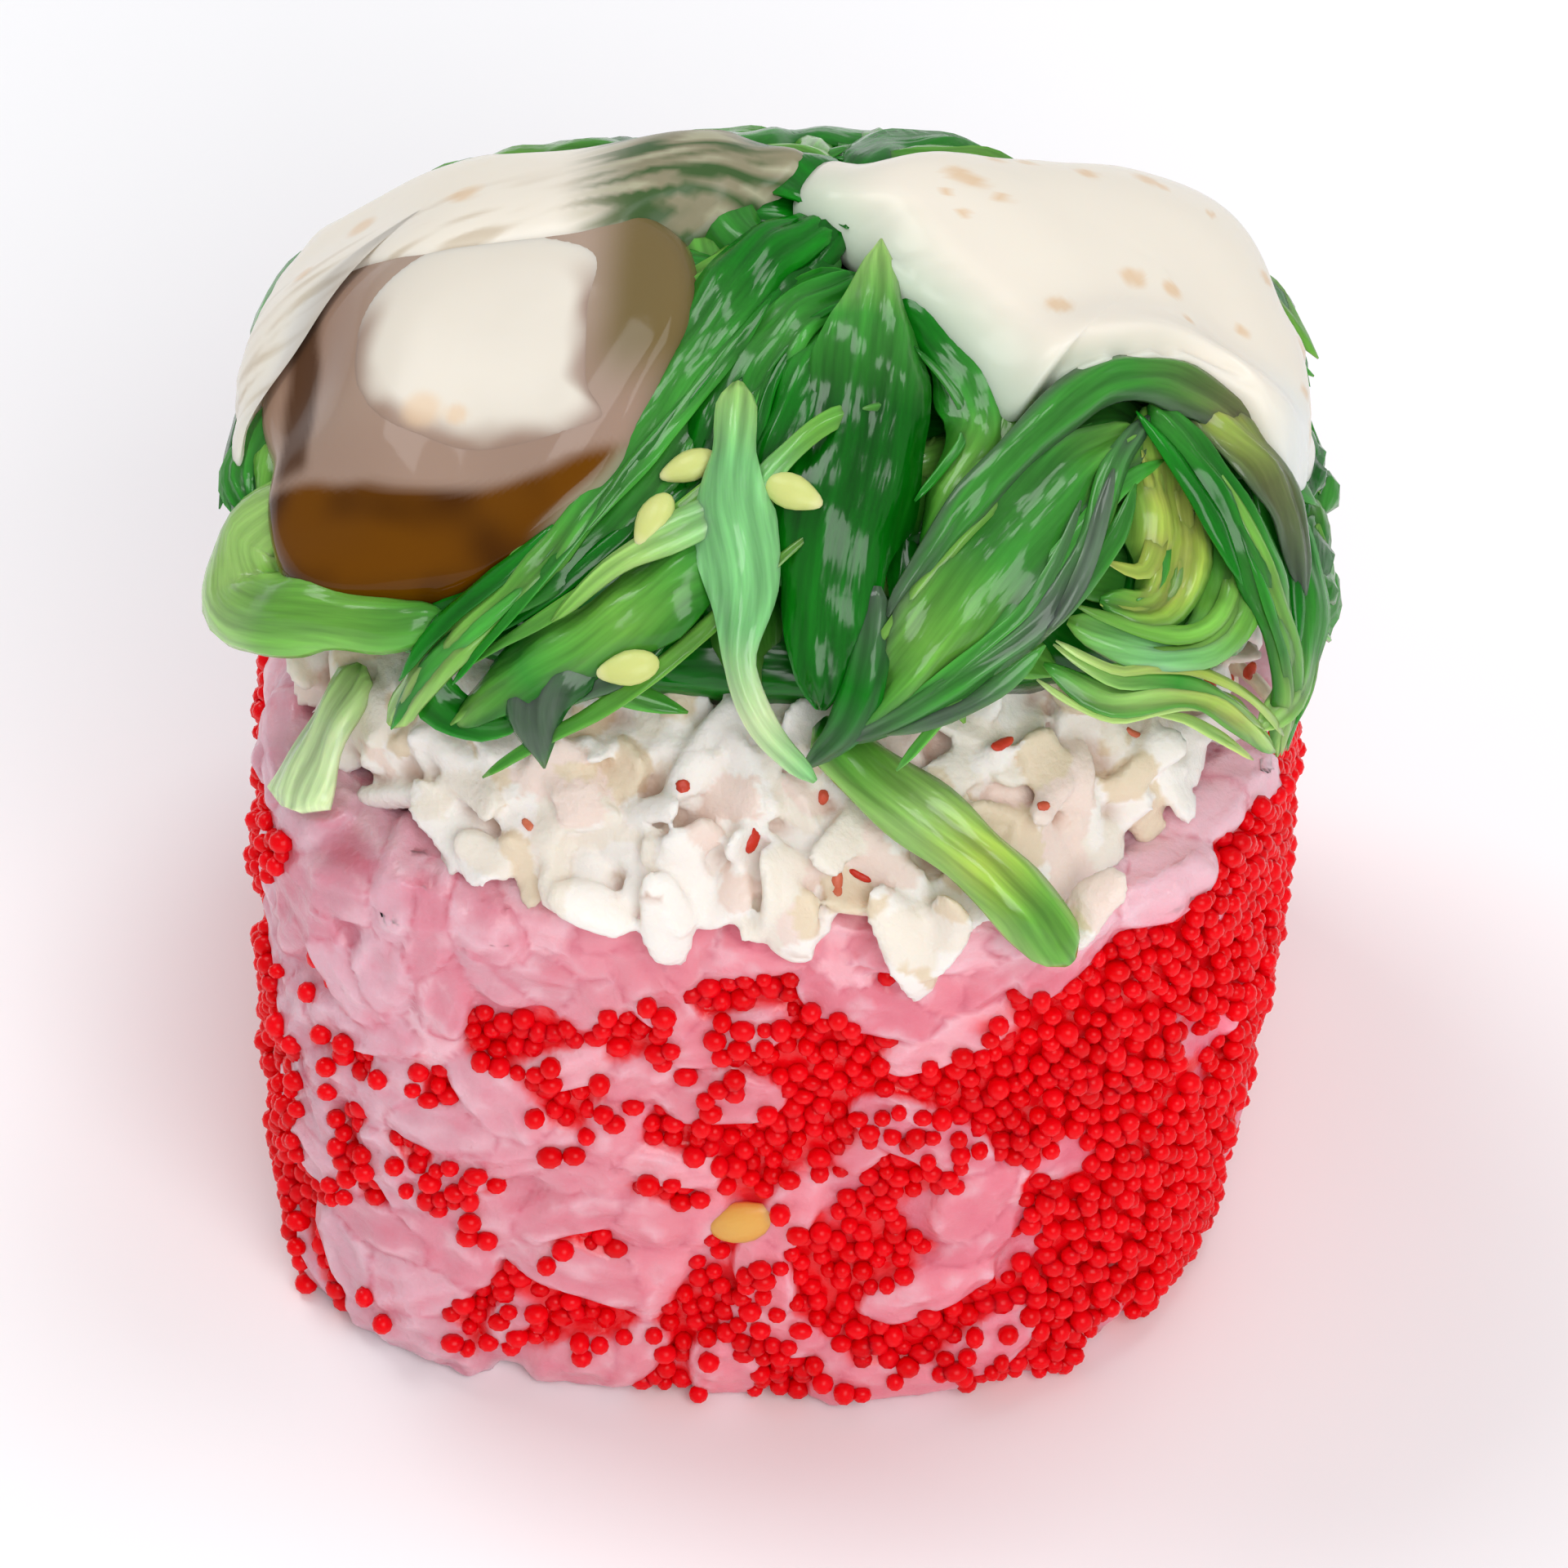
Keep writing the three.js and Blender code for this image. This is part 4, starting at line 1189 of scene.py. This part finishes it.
def seeds(trees, wall_tree):
    rng = np.random.default_rng(61)
    shape, faces = sesame_shape()
    solids, tones = [], []
    for right, back, turn in SEEDS:
        d = towards(np.array(float(right)), np.array(float(back)))
        place, normal = settle(trees, CORE + d * 80, -d)
        normal = unit(normal + 2 * d)
        a = math.radians(turn)
        level = unit(np.cross(normal, [0, 1, 0.01]))
        other = np.cross(normal, level)
        along = level * math.cos(a) + other * math.sin(a)
        axes = np.stack([along, np.cross(normal, along), normal])
        plump = shape * HEAP_SEED * rng.uniform(0.9, 1.05)
        solids.append((place + normal * 0.35 + plump @ axes, faces))
        tones.append(PALE_SEED)
    x, z, turn = GOLDEN
    place, normal = settle([wall_tree], (x, -60, z), (0, 1, 0))
    normal = unit(normal + np.array([0, -2.0, 0]))
    along = unit(np.array([math.cos(math.radians(turn)), 0, math.sin(math.radians(turn))]))
    along = unit(along - normal * (along @ normal))
    axes = np.stack([along, np.cross(normal, along), normal])
    solids.append((place + normal * 0.4 + shape @ axes, faces))
    tones.append(GOLDEN_SEED)
    points, all_faces = join(solids)
    tint = np.repeat(np.array(tones), len(shape), axis=0)
    tip = np.tile(fade(shape[:, 0], 0.9, 1.5), len(solids))
    tint = mix(tint, SEED_TIP, tip * 0.6)
    piece("sesame_seeds", points, all_faces, SEED_SKIN, "sesame", tint)


FLECK_RED = colour(206, 44, 24)
FLECK_ORANGE = colour(232, 130, 96)
FLECKS = (  # right and back, in degrees, of the flecks that show at the front
    (-6, -37), (0, -41), (20, -31), (32, -26), (6, -37), (10, -43), (8, -44), (24, -35), (-20, -39),
)


def flecks(tree):
    """Red bits in the crab salad."""
    rng = np.random.default_rng(71)
    places = list(FLECKS)
    for _ in range(22):
        turn = rng.uniform(-0.5, math.pi + 0.5)
        right, back = 45 * math.cos(turn), 44 * math.sin(turn)
        places.append((right * rng.uniform(0.9, 1.04), back * rng.uniform(0.9, 1.04)))
    solids = []
    for right, back in places:
        d = towards(np.array(float(right)), np.array(float(back)))
        found = settle([tree], CORE + d * 80, -d)
        if found is None:
            continue
        place, normal = found
        along, side, out = seat(place[None], unit(normal + d)[None], rng.uniform(0, math.pi, 1))
        size = np.array([rng.uniform(0.5, 1.1), rng.uniform(0.3, 0.6), 0.25])
        solids.append(chunk(place, (along[0], side[0], out[0]), size, rng, 2.4))
    points, faces = join(solids)
    tone = np.repeat(rng.random(len(solids)), len(solids[0][0]))
    tint = mix(FLECK_RED, FLECK_ORANGE, tone * 0.8)
    piece("crab_flecks", points, faces, CRAB_SKIN, "crab_salad", tint)


# Assembly ----------------

RICE_SKIN = food("rice", 0.34, 0.5, (1.3, 0.5, 0.6), 0.28, 0.07, coat=0.3, coat_roughness=0.16)
ROE_SKIN = food("roe", 0.22, 0.7, (1.6, 0.06, 0.06), 0.4, 0.0, shine=0.14)
CRAB_SKIN = food("crab", 0.4, 0.35, (0.9, 0.6, 0.45), 0.3, 0.07)
CREAM_SKIN = food("cream", 0.25, 0.4, (1.2, 1.0, 0.8), 3.0, 0.02, shine=0.2)
BROWN_SKIN = food("brown sauce", 0.08, 0.1, (1.0, 0.5, 0.2), 3.0, 0.02, shine=0.14)
SEED_SKIN = food("sesame", 0.35, 0.3, (0.6, 0.4, 0.2), 0.5, 0.03)
SEAWEED_SKIN = seaweed_material()

skin, skin_faces, tint = rice_block()
rice = piece("rice", skin, skin_faces, RICE_SKIN, "rice", tint)
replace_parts(rice, "rice_roll")
roe(skin, skin_faces)
crab = crab_salad()
greens = seaweed_salad()
sauces(Relief([crab, *greens]))
crab_tree = BVHTree.FromPolygons(crab[0].tolist(), crab[1])
green_trees = [BVHTree.FromPolygons(p.tolist(), f) for p, f in greens]
seeds([*green_trees, crab_tree], BVHTree.FromPolygons(skin.tolist(), skin_faces))
flecks(crab_tree)


# Floor, light and camera ----------------


def studio():
    floor = bpy.data.meshes.new("floor")
    half = 3.0
    corners = [(-half, -half, 0), (half, -half, 0), (half, half, 0), (-half, half, 0)]
    floor.from_pydata(corners, [], [(0, 1, 2, 3)])
    paper = bpy.data.materials.new("floor")
    paper.use_nodes = True
    shader = paper.node_tree.nodes["Principled BSDF"]
    set_inputs(shader, {"Base Color": (0.94, 0.94, 0.955, 1), "Roughness": 0.7})
    set_inputs(shader, {"Specular IOR Level": 0.2})
    floor.materials.append(paper)
    ground = bpy.data.objects.new("floor", floor)
    bpy.context.scene.collection.objects.link(ground)

    world = bpy.data.worlds.new("studio")
    bpy.context.scene.world = world
    world.use_nodes = True
    set_inputs(world.node_tree.nodes["Background"], {"Color": (0.97, 0.98, 1.0, 1), "Strength": 0.4})

    for name, azimuth, elevation, distance, size, power in (
        ("key", 235, 60, 1.2, 0.5, 4.2),
        ("front", 22, 40, 1.3, 0.8, 9.2),
        ("top", 130, 72, 1.2, 0.4, 2.6),
    ):
        lamp = bpy.data.lights.new(name, "AREA")
        lamp.size = size
        lamp.energy = power
        holder = bpy.data.objects.new(name, lamp)
        bpy.context.scene.collection.objects.link(holder)
        a, e = math.radians(azimuth), math.radians(elevation)
        back = Vector((math.sin(a) * math.cos(e), -math.cos(a) * math.cos(e), math.sin(e)))
        holder.location = back * distance
        holder.rotation_mode = "QUATERNION"
        holder.rotation_quaternion = back.to_track_quat("Z", "Y")


def camera():
    """Looks at the middle of the piece from the front and above."""
    distance, elevation, azimuth, field_width = 0.70, math.radians(44.5), math.radians(4), 0.062
    target = Vector((0, 0, 16 * MM))
    lens = bpy.data.cameras.new("camera")
    lens.sensor_width = 36
    lens.lens = lens.sensor_width * distance / field_width
    lens.clip_start, lens.clip_end = 0.01, 20
    holder = bpy.data.objects.new("camera", lens)
    bpy.context.scene.collection.objects.link(holder)
    back = Vector((
        math.sin(azimuth) * math.cos(elevation),
        -math.cos(azimuth) * math.cos(elevation),
        math.sin(elevation),
    ))
    holder.location = target + back * distance
    holder.rotation_mode = "QUATERNION"
    holder.rotation_quaternion = back.to_track_quat("Z", "Y")
    bpy.context.scene.camera = holder


studio()
camera()
bpy.context.scene.view_settings.view_transform = "Standard"
